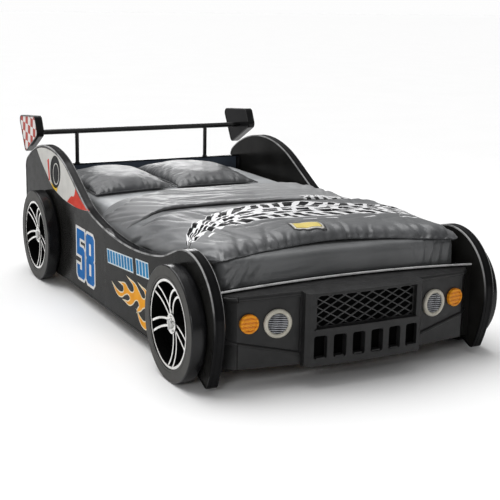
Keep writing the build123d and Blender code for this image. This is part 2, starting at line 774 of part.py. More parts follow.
def make_post_flanges():
    """Round flanges under the wing posts."""
    with BuildPart() as flanges:
        with BuildSketch(Plane.XY.offset(HEADBOARD_TOP)):
            with Locations((-POST_X, from_axle(WING_Y)), (POST_X, from_axle(WING_Y))):
                Circle(11.9)
        extrude(amount=5)
    save(flanges, "post_flanges")


def wing_plate_face(inset):
    """Kite-shaped side view of a wing end plate, with rounded corners, this far inside its edge."""
    corners = [side_point(*corner) for corner in PLATE_CORNERS]
    with BuildSketch() as face:
        with BuildLine():
            Polyline(*corners, close=True)
        make_face()
        fillet(face.vertices(), radius=PLATE_ROUNDING)
        if inset:
            offset(amount=-inset, kind=Kind.ARC)
    return face.sketch


def make_wing_plate(side):
    """End plate of the wing, and the trim round its edge."""
    centre = SIDES[side] * PLATE_CENTRE
    with BuildPart() as plate:
        with BuildSketch(Plane.YZ.offset(centre - PLATE_BOARD / 2)):
            add(wing_plate_face(PLATE_TRIM_DEPTH))
        extrude(amount=PLATE_BOARD)
    save(plate, f"wing_plate_{side}")
    with BuildPart() as trim:
        with BuildSketch(Plane.YZ.offset(centre - PLATE_TRIM_WIDTH / 2)):
            add(wing_plate_face(0))
        extrude(amount=PLATE_TRIM_WIDTH)
        for face_x in (centre - PLATE_TRIM_WIDTH / 2, centre + PLATE_TRIM_WIDTH / 2):
            chamfer(trim.edges().filter_by_position(Axis.X, face_x - 0.1, face_x + 0.1), length=2)
        with BuildSketch(Plane.YZ.offset(centre - PLATE_TRIM_WIDTH / 2)):
            add(wing_plate_face(PLATE_TRIM_DEPTH))
        extrude(amount=PLATE_TRIM_WIDTH, mode=Mode.SUBTRACT)
    save(trim, f"wing_plate_trim_{side}")


make_headboard()
make_wing_bar()
make_post_flanges()
for side_name in SIDES:
    make_corner_strip(side_name)
    make_wing_post(side_name)
    make_wing_plate(side_name)


# ------------------------------------------------------------------- bed base

RAIL_WIDTH = 30.0
RAIL_HEIGHT = 35.0
SLAT = 15.0
SLAT_WIDTH = 70.0
SLAT_COUNT = 14
BEAM_HEIGHT = 60.0
LEG_PLACES = (160.0, 823.0, 1486.0)
BRACKET = 40.0
BRACKET_STEEL = 3.0
FOOT_RADIUS = 32.0
FOOT_HEIGHT = 8.0
LEG_RADIUS = 24.0
BEAM_WIDTH = 44.0
BASE_START = FRONT_BOARD_FACE + CROSS_BOARD
BASE_LENGTH = HEADBOARD_FACE - BASE_START


def make_side_rail(side):
    """Ledger along the inner face of a side panel, under the slats."""
    x = SIDES[side] * (SIDE_INNER - RAIL_WIDTH / 2)
    with BuildPart() as rail:
        with BuildSketch(front_plane(BASE_START)):
            with Locations((x, SLAT_TOP - SLAT - RAIL_HEIGHT / 2)):
                Rectangle(RAIL_WIDTH, RAIL_HEIGHT)
        extrude(amount=-BASE_LENGTH)
    save(rail, f"side_rail_{side}")


def make_centre_beam():
    """Beam under the middle of the slats."""
    with BuildPart() as beam:
        with BuildSketch(front_plane(BASE_START)):
            with Locations((0, SLAT_TOP - SLAT - BEAM_HEIGHT / 2)):
                Rectangle(BEAM_WIDTH, BEAM_HEIGHT)
        extrude(amount=-BASE_LENGTH)
    save(beam, "centre_beam")


def make_centre_legs():
    """Three round legs under the centre beam, each on a wider foot."""
    places = [(0, from_axle(distance)) for distance in LEG_PLACES]
    with BuildPart() as legs:
        with BuildSketch(Plane.XY):
            with Locations(*places):
                Circle(FOOT_RADIUS)
        extrude(amount=FOOT_HEIGHT)
        with BuildSketch(Plane.XY.offset(FOOT_HEIGHT)):
            with Locations(*places):
                Circle(LEG_RADIUS)
        extrude(amount=SLAT_TOP - SLAT - BEAM_HEIGHT - FOOT_HEIGHT)
    save(legs, "centre_legs")


def make_slats():
    """Sprung slats across the rails and the beam."""
    pitch = (BASE_LENGTH - 110) / (SLAT_COUNT - 1)
    with BuildPart() as slats:
        with BuildSketch(Plane.XY.offset(SLAT_TOP - SLAT)):
            with Locations((0, from_axle(BASE_START + BASE_LENGTH / 2))):
                with GridLocations(1, pitch, 1, SLAT_COUNT):
                    RectangleRounded(2 * SIDE_INNER - 12, SLAT_WIDTH, radius=6)
        extrude(amount=SLAT)
    save(slats, "slats")


def make_corner_brackets():
    """Steel angles that join the cross boards to the side boards."""
    with BuildPart() as brackets:
        with BuildSketch(Plane.XY.offset(90)):
            for sign in SIDES.values():
                for corner, inward in ((BASE_START, 1), (HEADBOARD_FACE, -1)):
                    corner_x = sign * SIDE_INNER
                    corner_y = from_axle(corner)
                    with Locations((corner_x - sign * BRACKET / 2, corner_y + inward * BRACKET_STEEL / 2)):
                        Rectangle(BRACKET, BRACKET_STEEL)
                    with Locations((corner_x - sign * BRACKET_STEEL / 2, corner_y + inward * BRACKET / 2)):
                        Rectangle(BRACKET_STEEL, BRACKET)
        extrude(amount=100)
    save(brackets, "corner_brackets")


for side_name in SIDES:
    make_side_rail(side_name)
make_centre_beam()
make_centre_legs()
make_slats()
make_corner_brackets()


# -------------------------------------------------------------------- bedding

MATTRESS_FOOT = -128.0
MATTRESS_TOP = SLAT_TOP + MATTRESS_HEIGHT
DUVET_LIFT = 0.5
DUVET_FOOT = -152.0
DUVET_SIDE_START = -134.0  # the hanging sides begin behind the front board
DUVET_HEAD = 980.0
DUVET_FOLD = 620.0
DUVET_HALF = 529.0
DUVET_TOP = 480.0
DUVET_HEM = 335.0
DUVET_SHOULDER = 38.0
DUVET_ROLL = 14.0  # the turned-down part stands this much higher
PILLOW_WIDTH = 416.0  # a children's pillow of about 40 x 60 cm
PILLOW_DEPTH = 590.0
PILLOW_HEIGHT = 66.0
PILLOW_GAP = 1.0
PILLOW_SEAM_X = -70.0  # the pillows lie side by side, a little left of the bed's middle
PILLOW_Y = 1475.0  # middle of the pillows, behind the front axle


def make_mattress():
    """Mattress in its fitted sheet."""
    with BuildPart() as mattress:
        with BuildSketch(Plane.XY.offset(SLAT_TOP)):
            with Locations((0, from_axle(MATTRESS_FOOT + MATTRESS_LENGTH / 2))):
                RectangleRounded(MATTRESS_WIDTH, MATTRESS_LENGTH, radius=45)
        extrude(amount=MATTRESS_HEIGHT)
    save(mattress, "mattress")


def make_duvet():
    """Duvet over the foot half of the mattress, hanging down both sides and turned down at its head end."""
    length = DUVET_HEAD - DUVET_FOOT
    under = MATTRESS_TOP + DUVET_LIFT
    with BuildPart() as duvet:
        with BuildSketch(front_plane(DUVET_FOOT)) as section:
            with Locations((0, (DUVET_HEM + DUVET_TOP) / 2)):
                Rectangle(2 * DUVET_HALF, DUVET_TOP - DUVET_HEM)
            fillet(section.vertices().group_by(Axis.Y)[-1], radius=DUVET_SHOULDER)
            with Locations((0, (DUVET_HEM + under) / 2 - 20)):
                Rectangle(MATTRESS_WIDTH + 2, under - DUVET_HEM + 40, mode=Mode.SUBTRACT)
        extrude(amount=-length)
        with BuildSketch(front_plane(DUVET_FOOT)):
            with Locations((0, (DUVET_HEM + under) / 2 - 20)):
                Rectangle(2 * DUVET_HALF, under - DUVET_HEM + 12, mode=Mode.ADD)
        extrude(amount=-(DUVET_SIDE_START - DUVET_FOOT), mode=Mode.SUBTRACT)
        with BuildSketch(Plane.XY.offset(DUVET_TOP)):
            with Locations((0, from_axle((DUVET_HEAD + DUVET_FOLD) / 2))):
                RectangleRounded(MATTRESS_WIDTH - 20, DUVET_HEAD - DUVET_FOLD, radius=20)
        extrude(amount=DUVET_ROLL)
    save(duvet, "duvet")


def make_pillow(side):
    """Flat pillow with rounded edges."""
    middle = PILLOW_SEAM_X + SIDES[side] * (PILLOW_WIDTH + PILLOW_GAP) / 2
    with BuildPart() as pillow:
        with BuildSketch(Plane.XY.offset(MATTRESS_TOP + DUVET_LIFT)):
            with Locations((middle, from_axle(PILLOW_Y))):
                RectangleRounded(PILLOW_WIDTH, PILLOW_DEPTH, radius=50)
        extrude(amount=PILLOW_HEIGHT)
        fillet(pillow.faces().sort_by(Axis.Z)[-1].edges(), radius=30)
    save(pillow, f"pillow_{side}")


make_mattress()
make_duvet()
for side_name in SIDES:
    make_pillow(side_name)
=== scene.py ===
"""Looks of the children's race-car bed: materials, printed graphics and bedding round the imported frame."""

import math
import random

import bmesh
import bpy
import numpy as np
from mathutils import Matrix, Vector, noise
from mathutils.bvhtree import BVHTree


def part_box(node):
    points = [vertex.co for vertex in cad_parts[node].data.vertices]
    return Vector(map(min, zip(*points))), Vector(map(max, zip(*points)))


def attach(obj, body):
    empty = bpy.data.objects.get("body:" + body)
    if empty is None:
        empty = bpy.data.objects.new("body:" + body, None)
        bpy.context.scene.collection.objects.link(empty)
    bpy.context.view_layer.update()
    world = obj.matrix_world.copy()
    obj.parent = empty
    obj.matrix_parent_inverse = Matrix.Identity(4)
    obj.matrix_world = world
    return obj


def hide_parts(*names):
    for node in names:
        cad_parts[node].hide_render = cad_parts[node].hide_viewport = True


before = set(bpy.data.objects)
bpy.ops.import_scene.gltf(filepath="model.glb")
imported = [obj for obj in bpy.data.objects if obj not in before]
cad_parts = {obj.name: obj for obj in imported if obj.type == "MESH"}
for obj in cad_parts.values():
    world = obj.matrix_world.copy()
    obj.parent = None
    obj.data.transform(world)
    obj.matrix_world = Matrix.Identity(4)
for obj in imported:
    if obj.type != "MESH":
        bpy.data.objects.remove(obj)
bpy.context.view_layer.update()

scene = bpy.context.scene
MM = 0.001
SIDES = {"left": -1, "right": 1}

# ------------------------------------------------------------ places, all taken from the frame

TYRE_LOW, TYRE_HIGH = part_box("tyre_left_front")
AXLE_Y = (TYRE_LOW.y + TYRE_HIGH.y) / 2  # distances along the bed are counted from the front axle
BOARD_LOW, BOARD_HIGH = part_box("side_board_left_front")
SIDE_FACE = -BOARD_LOW.x  # outer face of a side board, from the middle of the bed
MATTRESS_LOW, MATTRESS_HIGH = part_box("mattress")
UNDER = MATTRESS_HIGH.z + 0.001  # whatever lies on the mattress starts here
DUVET_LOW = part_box("duvet")[0]
TRIM_LOW, TRIM_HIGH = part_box("edge_trim_right_front")
TRIM_INNER, TRIM_OUTER = TRIM_LOW.x, TRIM_HIGH.x  # nothing soft reaches past the panels' inner faces


def behind(millimetres):
    """Y of a point this far behind the front axle."""
    return AXLE_Y + millimetres * MM


def add_object(name, data):
    """A new object in the scene."""
    made = bpy.data.objects.new(name, data)
    scene.collection.objects.link(made)
    return made


def evaluated(piece):
    """An object with its modifiers applied, for reading."""
    return piece.evaluated_get(bpy.context.evaluated_depsgraph_get())


# ------------------------------------------------------------ camera, light and floor

CAMERA_PLACE = (-2.0811, AXLE_Y - 3.3785, 1.3228)
CAMERA_TURNS = (27.545, 13.059, 1.0836)  # degrees of yaw, pitch and roll, solved from the photograph
CAMERA_LENS = 80.1
SKY_SHOWN, SKY_HORIZON, SKY_OVERHEAD = 0.985, 0.16, 0.62
SUN_STRENGTH = 2.3
SUN_HEADING = (0.16, -0.42, -0.9)
SUN_BREADTH = math.radians(60)
KEY_WATTS, RIM_WATTS = 19, 22
FLOOR_REACH = 60


def make_camera():
    """Camera at the photograph's height, direction and field of view."""
    yaw, pitch, roll = (math.radians(turn) for turn in CAMERA_TURNS)
    forward = Vector((math.sin(yaw) * math.cos(pitch), math.cos(yaw) * math.cos(pitch), -math.sin(pitch)))
    level = Vector((math.cos(yaw), -math.sin(yaw), 0))
    upright = level.cross(forward)
    right = level * math.cos(roll) + upright * math.sin(roll)
    up = upright * math.cos(roll) - level * math.sin(roll)
    data = bpy.data.cameras.new("camera")
    data.lens = CAMERA_LENS
    data.clip_end = 200
    turn = Matrix((right, up, -forward)).transposed().to_4x4()
    camera = add_object("camera", data)
    camera.matrix_world = Matrix.Translation(CAMERA_PLACE) @ turn
    scene.camera = camera


def make_light(name, kind, strength, heading, place=(0, 0, 0), size=None):
    """Light that shines along a heading: a broad sun, or a soft square when it has a size."""
    data = bpy.data.lights.new(name, kind)
    data.energy = strength
    if size:
        data.size = size
    else:
        data.angle = SUN_BREADTH
    light = add_object(name, data)
    light.location = place
    light.rotation_euler = Vector(heading).to_track_quat("-Z", "Y").to_euler()


def make_sky():
    """World that looks white but lights the bed softly: dim at the horizon, brighter overhead."""
    world = bpy.data.worlds.new("studio")
    scene.world = world
    world.use_nodes = True
    tree = world.node_tree
    made = tree.nodes.new
    shown, lit = tree.nodes["Background"], made("ShaderNodeBackground")
    shown.inputs["Color"].default_value = (1, 1, 1, 1)
    shown.inputs["Strength"].default_value = SKY_SHOWN
    split, height = made("ShaderNodeSeparateXYZ"), made("ShaderNodeMapRange")
    for socket, value in zip(height.inputs, (0.0, 0.05, 0.75, SKY_HORIZON, SKY_OVERHEAD)):
        socket.default_value = value
    either = made("ShaderNodeMixShader")
    for output, socket in (
        (made("ShaderNodeTexCoord").outputs["Generated"], split.inputs[0]),
        (split.outputs["Z"], height.inputs["Value"]),
        (height.outputs[0], lit.inputs["Strength"]),
        (made("ShaderNodeLightPath").outputs["Is Camera Ray"], either.inputs[0]),
        (lit.outputs[0], either.inputs[1]),
        (shown.outputs[0], either.inputs[2]),
        (either.outputs[0], tree.nodes["World Output"].inputs["Surface"]),
    ):
        tree.links.new(output, socket)


def make_studio():
    """Pale floor that runs to the horizon, a dim sky, a high broad sun and two small lights for gloss."""
    make_sky()
    make_light("overhead", "SUN", SUN_STRENGTH, SUN_HEADING)
    make_light("key", "AREA", KEY_WATTS, (2.4, 2.8, -1.2), place=(-2.6, -3.4, 1.5), size=0.7)
    make_light("rim", "AREA", RIM_WATTS, (-1.2, -3.2, -1.1), place=(1.2, 3.6, 1.5), size=1.2)
    mesh = bpy.data.meshes.new("floor")
    corners = [(x * FLOOR_REACH, y * FLOOR_REACH, 0) for x, y in ((-1, -1), (1, -1), (1, 1), (-1, 1))]
    mesh.from_pydata(corners, [], [(0, 1, 2, 3)])
    floor = add_object("floor", mesh)
    look = Look("pale_floor", (0.97, 0.97, 0.97), 0.6, Specular_IOR_Level=0.2)
    look.colour(look.mottle(1.5, 3, (0.965, 0.965, 0.965), (0.975, 0.975, 0.975)))
    mesh.materials.append(look.material)


# ------------------------------------------------------------ materials


def maths_method(operation):
    """A method that makes one maths node."""

    def method(signal, *others):
        return signal.look.maths(operation, signal, *others)

    return method


class Signal:
    """A value that varies over a surface. Sums, products and comparisons of it are nodes too."""

    def __init__(self, look, socket):
        self.look = look
        self.socket = socket

    __add__ = maths_method("ADD")
    __sub__ = maths_method("SUBTRACT")
    __mul__ = maths_method("MULTIPLY")
    __truediv__ = maths_method("DIVIDE")
    __gt__ = maths_method("GREATER_THAN")
    __lt__ = maths_method("LESS_THAN")
    __abs__ = maths_method("ABSOLUTE")


class Look:
    """A procedural material, built up by short calls. Its coordinates are metres in the bed's frame."""

    def __init__(self, name, colour, roughness, **sockets):
        self.material = bpy.data.materials.new(name)
        self.material.use_nodes = True
        self.tree = self.material.node_tree
        self.inputs = self.tree.nodes["Principled BSDF"].inputs
        self.inputs["Base Color"].default_value = (*colour, 1)
        self.inputs["Roughness"].default_value = roughness
        for socket, value in sockets.items():
            self.inputs[socket.replace("_", " ")].default_value = value
        self.place = self.node("ShaderNodeTexCoord", "Object", {})

    def node(self, kind, output, inputs, **settings):
        """One output of a new node whose inputs are fed by name or number."""
        made = self.tree.nodes.new(kind)
        for name, value in settings.items():
            setattr(made, name, value)
        for name, value in inputs.items():
            self.feed(made.inputs[name], value)
        return Signal(self, made.outputs[output])

    def feed(self, socket, value):
        """Link a signal to a socket, or set the socket's number."""
        if isinstance(value, Signal):
            self.tree.links.new(value.socket, socket)
        else:
            socket.default_value = value

    def vary(self, **values):
        """Feed sockets of the shader."""
        for name, value in values.items():
            self.feed(self.inputs[name.replace("_", " ")], value)
        return self

    def noise(self, scale, detail=2.0, stretch=(1, 1, 1), distortion=0.0):
        """Noise from 0 to 1 with features of about 1/scale metres."""
        place = self.place
        if stretch != (1, 1, 1):
            place = self.node("ShaderNodeMapping", "Vector", {"Vector": place, "Scale": stretch})
        inputs = {"Vector": place, "Scale": scale, "Detail": detail, "Distortion": distortion}
        return self.node("ShaderNodeTexNoise", "Fac", inputs)

    def shake(self, scale, detail, reach, stretch=(1, 1, 1)):
        """Noise about zero, for ragged edges."""
        return (self.noise(scale, detail, stretch) - 0.5) * reach

    def wave(self, axis, scale, distortion=0.0):
        """Parallel ribs across one axis."""
        inputs = {"Vector": self.place, "Scale": scale, "Distortion": distortion}
        return self.node("ShaderNodeTexWave", "Fac", inputs, bands_direction=axis)

    def axis(self, letter, source=None):
        """One coordinate, or one component of another vector."""
        return self.node("ShaderNodeSeparateXYZ", letter, {0: source or self.place})

    def facing(self, letter):
        """How far the surface faces along an axis, from -1 to 1."""
        return self.axis(letter, self.node("ShaderNodeNewGeometry", "Normal", {}))

    def maths(self, operation, *values):
        """A maths node on numbers or signals."""
        return self.node("ShaderNodeMath", 0, dict(enumerate(values)), operation=operation)

    def saw(self, value, pitch):
        """Rises from 0 to 1 within every pitch."""
        return self.maths("FRACT", value / pitch)

    def ramp(self, value, low, high, out_low=0.0, out_high=1.0):
        """Map a value's range smoothly onto another, and hold it at the ends."""
        inputs = dict(enumerate((value, low, high, out_low, out_high)))
        return self.node("ShaderNodeMapRange", 0, inputs, interpolation_type="SMOOTHSTEP")

    def fall(self, value, low, high):
        """1 below low, 0 above high."""
        return self.ramp(value, low, high, 1.0, 0.0)

    def band(self, value, start, full, fade, end):
        """1 between full and fade, 0 before start and after end."""
        return self.ramp(value, start, full) * self.fall(value, fade, end)

    def parabola(self, x, peak, middle, curve):
        """peak minus curve times the squared distance from middle."""
        off = x - middle
        return self.maths("SUBTRACT", peak, off * off * curve)

    def mix(self, factor, first, second):
        """Blend two colours, each a triple or a signal."""
        shades = [shade if isinstance(shade, Signal) else (*shade, 1) for shade in (first, second)]
        return self.node("ShaderNodeMix", 2, {0: factor, 6: shades[0], 7: shades[1]}, data_type="RGBA")

    def mottle(self, scale, detail, dark, light, low=0.35, high=0.65):
        """Soft patches of two shades."""
        return self.mix(self.ramp(self.noise(scale, detail), low, high), dark, light)

    def base(self):
        """What feeds the base colour so far."""
        return Signal(self, self.inputs["Base Color"].links[0].from_socket)

    def colour(self, output):
        """Use this as the base colour."""
        return self.vary(Base_Color=output)

    def gloss(self, scale, detail, low, high):
        """Let the roughness vary over the surface."""
        return self.vary(Roughness=self.ramp(self.noise(scale, detail), 0.35, 0.65, low, high))

    def bump(self, height, distance, strength=1.0):
        """Add relief; several calls add up."""
        inputs = {"Distance": distance, "Strength": strength, "Height": height}
        earlier = self.inputs["Normal"].links
        if earlier:
            inputs["Normal"] = Signal(self, earlier[0].from_socket)
        return self.vary(Normal=self.node("ShaderNodeBump", "Normal", inputs))


def lacquer(name, dark, light, roughness=(0.16, 0.26), shine=0.035):
    """Glossy lacquered board with slight orange peel and dust-fine dulling."""
    look = Look(name, light, roughness[0], Specular_IOR_Level=shine)
    look.colour(look.mottle(9, 4, dark, light)).gloss(22, 5, *roughness)
    return look.bump(look.noise(420, 2), 0.0001, 0.15)


def plastic(name, dark, light, roughness, grain=900, relief=0.00025, shine=0.3):
    """Moulded plastic with a fine grain."""
    look = Look(name, light, roughness[0], Specular_IOR_Level=shine)
    look.colour(look.mottle(14, 4, dark, light)).gloss(40, 4, *roughness)
    return look.bump(look.noise(grain, 3), relief, 0.35)


def painted_silver(name, dark, light):
    """Metallic paint with fine flakes."""
    look = Look(name, light, 0.22, Metallic=0.85, Coat_Weight=0.3, Coat_Roughness=0.1)
    look.colour(look.mottle(25, 3, dark, light)).gloss(35, 4, 0.22, 0.36)
    return look.bump(look.noise(1800, 2), 0.00003, 0.15)


def rim_silver():
    """Silver paint on faces that look outwards, black on the flanks of the spokes and inside the barrel."""
    look = painted_silver("wheel_silver", (0.66, 0.65, 0.63), (0.82, 0.81, 0.79))
    outer = look.ramp(abs(look.facing("X")), 0.30, 0.62)
    look.colour(look.mix(outer, (0.004, 0.004, 0.004), look.base()))
    return look.vary(
        Metallic=look.ramp(outer, 0, 1, 0.0, 0.85),
        Specular_IOR_Level=look.ramp(outer, 0, 1, 0.03, 0.5),
        Coat_Weight=look.ramp(outer, 0, 1, 0.0, 0.3),
    )


def tyre_rubber():
    """Flat charcoal side ring round the wheel, glossy black tread across it."""
    look = Look("tyre_black", (0.02, 0.02, 0.021), 0.25, Specular_IOR_Level=0.3)
    side = look.ramp(abs(look.facing("X")), 0.9, 0.98)
    tread = look.mottle(30, 5, (0.005, 0.005, 0.0055), (0.008, 0.008, 0.009), 0.3, 0.7)
    ring = look.mottle(30, 5, (0.030, 0.029, 0.026), (0.040, 0.038, 0.034), 0.3, 0.7)
    look.colour(look.mix(side, tread, ring)).vary(Roughness=look.ramp(side, 0, 1, 0.22, 0.5))
    return look.bump(look.noise(650, 3), 0.0002, 0.25)


def bare_wood():
    """Pale sprung wood with grain along the slats."""
    look = Look("birch", (0.62, 0.45, 0.28), 0.55)
    grain = look.noise(40, 6, stretch=(0.12, 1.6, 1.6), distortion=0.6)
    look.colour(look.mix(look.ramp(grain, 0.3, 0.7), (0.66, 0.49, 0.31), (0.52, 0.35, 0.2)))
    look.vary(Roughness=look.ramp(grain, 0.35, 0.65, 0.45, 0.62))
    return look.bump(grain, 0.0004, 0.4)


def zinc_steel():
    """Zinc-plated steel with a spangled sheen."""
    look = Look("zinc_steel", (0.6, 0.6, 0.6), 0.35, Metallic=1.0)
    look.colour(look.mottle(120, 3, (0.5, 0.5, 0.51), (0.66, 0.66, 0.65))).gloss(160, 3, 0.28, 0.45)
    return look.bump(look.noise(900, 2), 0.00005, 0.2)


def amber_lens():
    """Moulded amber lens of an indicator, faintly ribbed across its height."""
    look = Look("amber_lens", (0.80, 0.32, 0.015), 0.3, Specular_IOR_Level=0.2)
    ribs = look.ramp(look.wave("Z", 22, 0.4), 0.35, 0.65)
    look.colour(look.mix(ribs, (0.62, 0.20, 0.010), (0.80, 0.32, 0.015))).gloss(60, 3, 0.21, 0.48)
    return look.bump(look.noise(300, 3), 0.0003, 0.3)


def panel_black():
    """Black lacquered panels, with a painted highlight along one edge of the joint between the two side
    boards.
    """
    look = lacquer("panel_black", (0.010, 0.0098, 0.0092), (0.015, 0.0147, 0.014))
    pale_middle, dark_middle = BOARD_HIGH.y + 0.0012, BOARD_HIGH.y - 0.0015
    # painted highlight: a pale line along one edge of the board joint, broken in patches; the dark gap
    # beside it is the joint itself
    edge_highlight = look.fall(abs(look.axis("Y") - pale_middle), 0.0006, 0.0012)
    highlight_patches = look.ramp(look.noise(30, 3), 0.4, 0.6, 0.3, 1.0)
    lined = look.mix(edge_highlight * highlight_patches, look.base(), (0.16, 0.16, 0.16))
    gap = look.fall(abs(look.axis("Y") - dark_middle), 0.0014, 0.002)
    return look.colour(look.mix(gap, lined, (0.001, 0.001, 0.001)))


def headboard_navy():
    """Navy lacquer on the headboard's front; its back is coloured black as painted shade, so that the lit
    back looks as dark as the shaded front.
    """
    look = lacquer("headboard_navy", (0.060, 0.074, 0.100), (0.078, 0.096, 0.128), (0.3, 0.4), 0.2)
    black = look.mottle(9, 4, (0.010, 0.0105, 0.012), (0.015, 0.0155, 0.018))
    # painted shade: faces looking backwards take a black copy of the lacquer
    return look.colour(look.mix(look.facing("Y") > 0.5, look.base(), black))


def lamp_glass():
    """Dark lamp lens with pale, slightly slanting ribs."""
    look = Look("lamp_lens", (0.04, 0.04, 0.045), 0.2, Specular_IOR_Level=0.25)
    pitch, slant = 0.0078, 0.1
    saw = look.saw(look.axis("Z") + look.axis("X") * slant, pitch)
    rib = look.fall(abs(saw - 0.5), 0.16, 0.26)
    pale = look.mottle(40, 3, (0.30, 0.31, 0.33), (0.50, 0.51, 0.54), 0.3, 0.7)
    look.colour(look.mix(rib, (0.018, 0.018, 0.020), pale)).gloss(60, 3, 0.14, 0.28)
    return look.bump(rib, 0.0008, 0.5)


def lined_moulding(name, shine, shade, faintest, find_line):
    """Black edge moulding with a painted highlight line, fainter in patches, where `find_line` says."""
    look = lacquer(name, (0.004, 0.004, 0.0045), (0.007, 0.007, 0.0075), (0.10, 0.16), shine)
    # painted highlight: a grey line standing for light caught on the moulding's edges, fainter in patches
    highlight_patches = look.ramp(look.noise(14, 4), 0.3, 0.6, faintest, 1.0)
    return look.colour(look.mix(find_line(look) * highlight_patches, look.base(), (shade, shade, shade)))


def side_trim_line(look):
    """Where the painted highlight goes: both edges of the side panels' trim, fading out towards the floor.
    """
    line_width = 0.0032
    across = abs(look.axis("X"))
    gap = look.maths("MINIMUM", across - TRIM_INNER, look.maths("SUBTRACT", TRIM_OUTER, across))
    return look.fall(gap, line_width, line_width + 0.001) * look.ramp(look.axis("Z"), 0.20, 0.42)


def front_trim_line(look):
    """Where the painted highlight goes: the front upper edge of the front board's trim."""
    ahead = look.axis("Y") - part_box("front_board_trim")[0].y
    return look.fall(ahead, 0.004, 0.006)


def satin(name, dark, light):
    """Satin cloth: fine weave, soft sheen and slight shade differences between its folds."""
    look = Look(name, light, 0.34, Sheen_Weight=0.12, Sheen_Roughness=0.4, Specular_IOR_Level=0.6)
    look.colour(look.mottle(5, 3, dark, light)).gloss(18, 4, 0.34, 0.44)
    look.bump(look.wave("X", 330, 0.6) + look.wave("Y", 330, 0.6), 0.00012, 0.25)
    return look.bump(look.noise(20, 3, stretch=(1, 0.4, 1)), 0.0008, 0.3)


def satin_with_painted_light(name, dark, light, start, end, gain):
    """Satin with painted light: its colour grows brighter by `gain` towards the head of the bed, standing in
    for lit tops there and shaded faces further forward.
    """
    look = satin(name, dark, light)
    # painted light: a brighter copy of the satin takes over between start and end along the bed
    painted_light_colour = look.mottle(5, 3, [c * gain for c in dark], [c * gain for c in light])
    return look.colour(look.mix(look.ramp(look.axis("Y"), start, end), look.base(), painted_light_colour))


# rows of blocks in the duvet's print: where each starts and ends in the band, pitch, share of black, slant
TREAD_ROWS = (
    (0.03, 0.22, 0.062, 0.60, 0.55),
    (0.27, 0.37, 0.120, 0.80, 0.0),
    (0.42, 0.52, 0.085, 0.70, -0.3),
    (0.57, 0.66, 0.105, 0.74, 0.2),
    (0.71, 0.96, 0.058, 0.62, -0.6),
)


def tread_print(look, plain):
    """Tyre-track print across the duvet: a white band, narrower to the left, with broken black blocks."""
    y = look.axis("Y")
    # down the sides the print goes on round the shoulder, so depth counts as further across
    drop = look.maths("MAXIMUM", look.maths("SUBTRACT", UNDER + 0.030, look.axis("Z")), 0.0)
    x = (abs(look.axis("X")) + drop) * look.maths("SIGN", look.axis("X"))
    # the band's front and back edges, as parabolas over X
    front = look.parabola(x, behind(158), -0.05, 0.27)
    width = look.parabola(x, behind(452), 0.0, 1.15) - front
    ragged = look.shake(36, 4, 0.016)
    ahead = y - front + ragged
    part = ahead / look.maths("MAXIMUM", width, 0.02)
    inside = look.band(part, 0.0, 0.015, 0.985, 1.0) * look.ramp(width, 0.022, 0.030)
    # a thin broken streak in front of the band
    streak = look.parabola(x, behind(112), -0.1, 0.2) - y + ragged
    broken = look.noise(9, 2, stretch=(1, 0.3, 1)) > 0.5
    inside = look.maths("MAXIMUM", inside, look.band(streak, -0.006, -0.004, 0.004, 0.006) * broken)
    blocks = 0.0
    for start, stop, pitch, black, slant in TREAD_ROWS:
        phase = x + ahead * slant + look.noise(6, 1) * (pitch * 1.6)
        place = part + look.shake(30, 2, 0.08)
        row = (look.saw(phase, pitch) < black) * ((place > start) * (place < stop))
        blocks = look.maths("MAXIMUM", row, blocks)
    blocks = blocks * (look.noise(70, 4) > 0.30)
    look.colour(look.mix(inside, plain, look.mix(blocks, (0.86, 0.86, 0.87), (0.004, 0.004, 0.005))))
    ink = blocks * inside
    return look.vary(
        Specular_IOR_Level=look.ramp(ink, 0, 1, 0.6, 0.05),
        Sheen_Weight=look.ramp(ink, 0, 1, 0.12, 0.0),
    )


def fold_satin():
    """Paler underside of the duvet, painted lighter towards the right against the right fin's shadow, with a
    scrap of the print on its front edge at the right.
    """
    look = satin("fold_satin", (0.165, 0.167, 0.172), (0.20, 0.202, 0.208))
    x = look.axis("X")
    # painted light: the underside grows lighter towards the right, making up for the shade the right fin
    # casts there
    painted_light_right = look.mottle(5, 3, (0.26, 0.262, 0.268), (0.32, 0.322, 0.328))
    plain = look.mix(look.ramp(x, -0.10, 0.34), look.base(), painted_light_right)
    ahead = look.axis("Y") - look.parabola(x, behind(612), -0.15, 0.39)
    near = look.fall(ahead + look.shake(30, 2, 0.02), 0.048, 0.052)
    ink = (look.saw(x + ahead * 0.7, 0.034) < 0.5) * (look.noise(38, 2) > 0.42)
    print_colour = look.mix(ink, (0.82, 0.82, 0.83), (0.006, 0.006, 0.007))
    scrap = look.band(x, 0.215, 0.23, 0.40, 0.42) * near
    return look.colour(look.mix(scrap, plain, print_colour))


def duvet_satin():
    """Grey satin of the duvet with its printed band, painted sheen on its left shoulder and painted shade
    along its foot hem.
    """
    look = satin("duvet_satin", (0.10, 0.103, 0.108), (0.135, 0.138, 0.143))
    x = look.axis("X")
    # painted sheen makes it paler over its left shoulder, and painted shade makes it darker in the gathers
    # along its foot hem
    pale = look.mottle(5, 3, (0.150, 0.154, 0.160), (0.195, 0.199, 0.205))
    plain = look.mix(look.ramp(x, -0.34, -0.50), look.base(), pale)
    deep = look.mottle(5, 3, (0.042, 0.044, 0.047), (0.062, 0.064, 0.067))
    behind_hem = look.axis("Y") - look.parabola(x, behind(-72), -0.05, 0.312)
    uneven = look.shake(26, 2, 0.07, stretch=(1, 0.3, 1))
    return tread_print(look, look.mix(look.ramp(behind_hem + uneven, 0.0, 0.075), deep, plain))


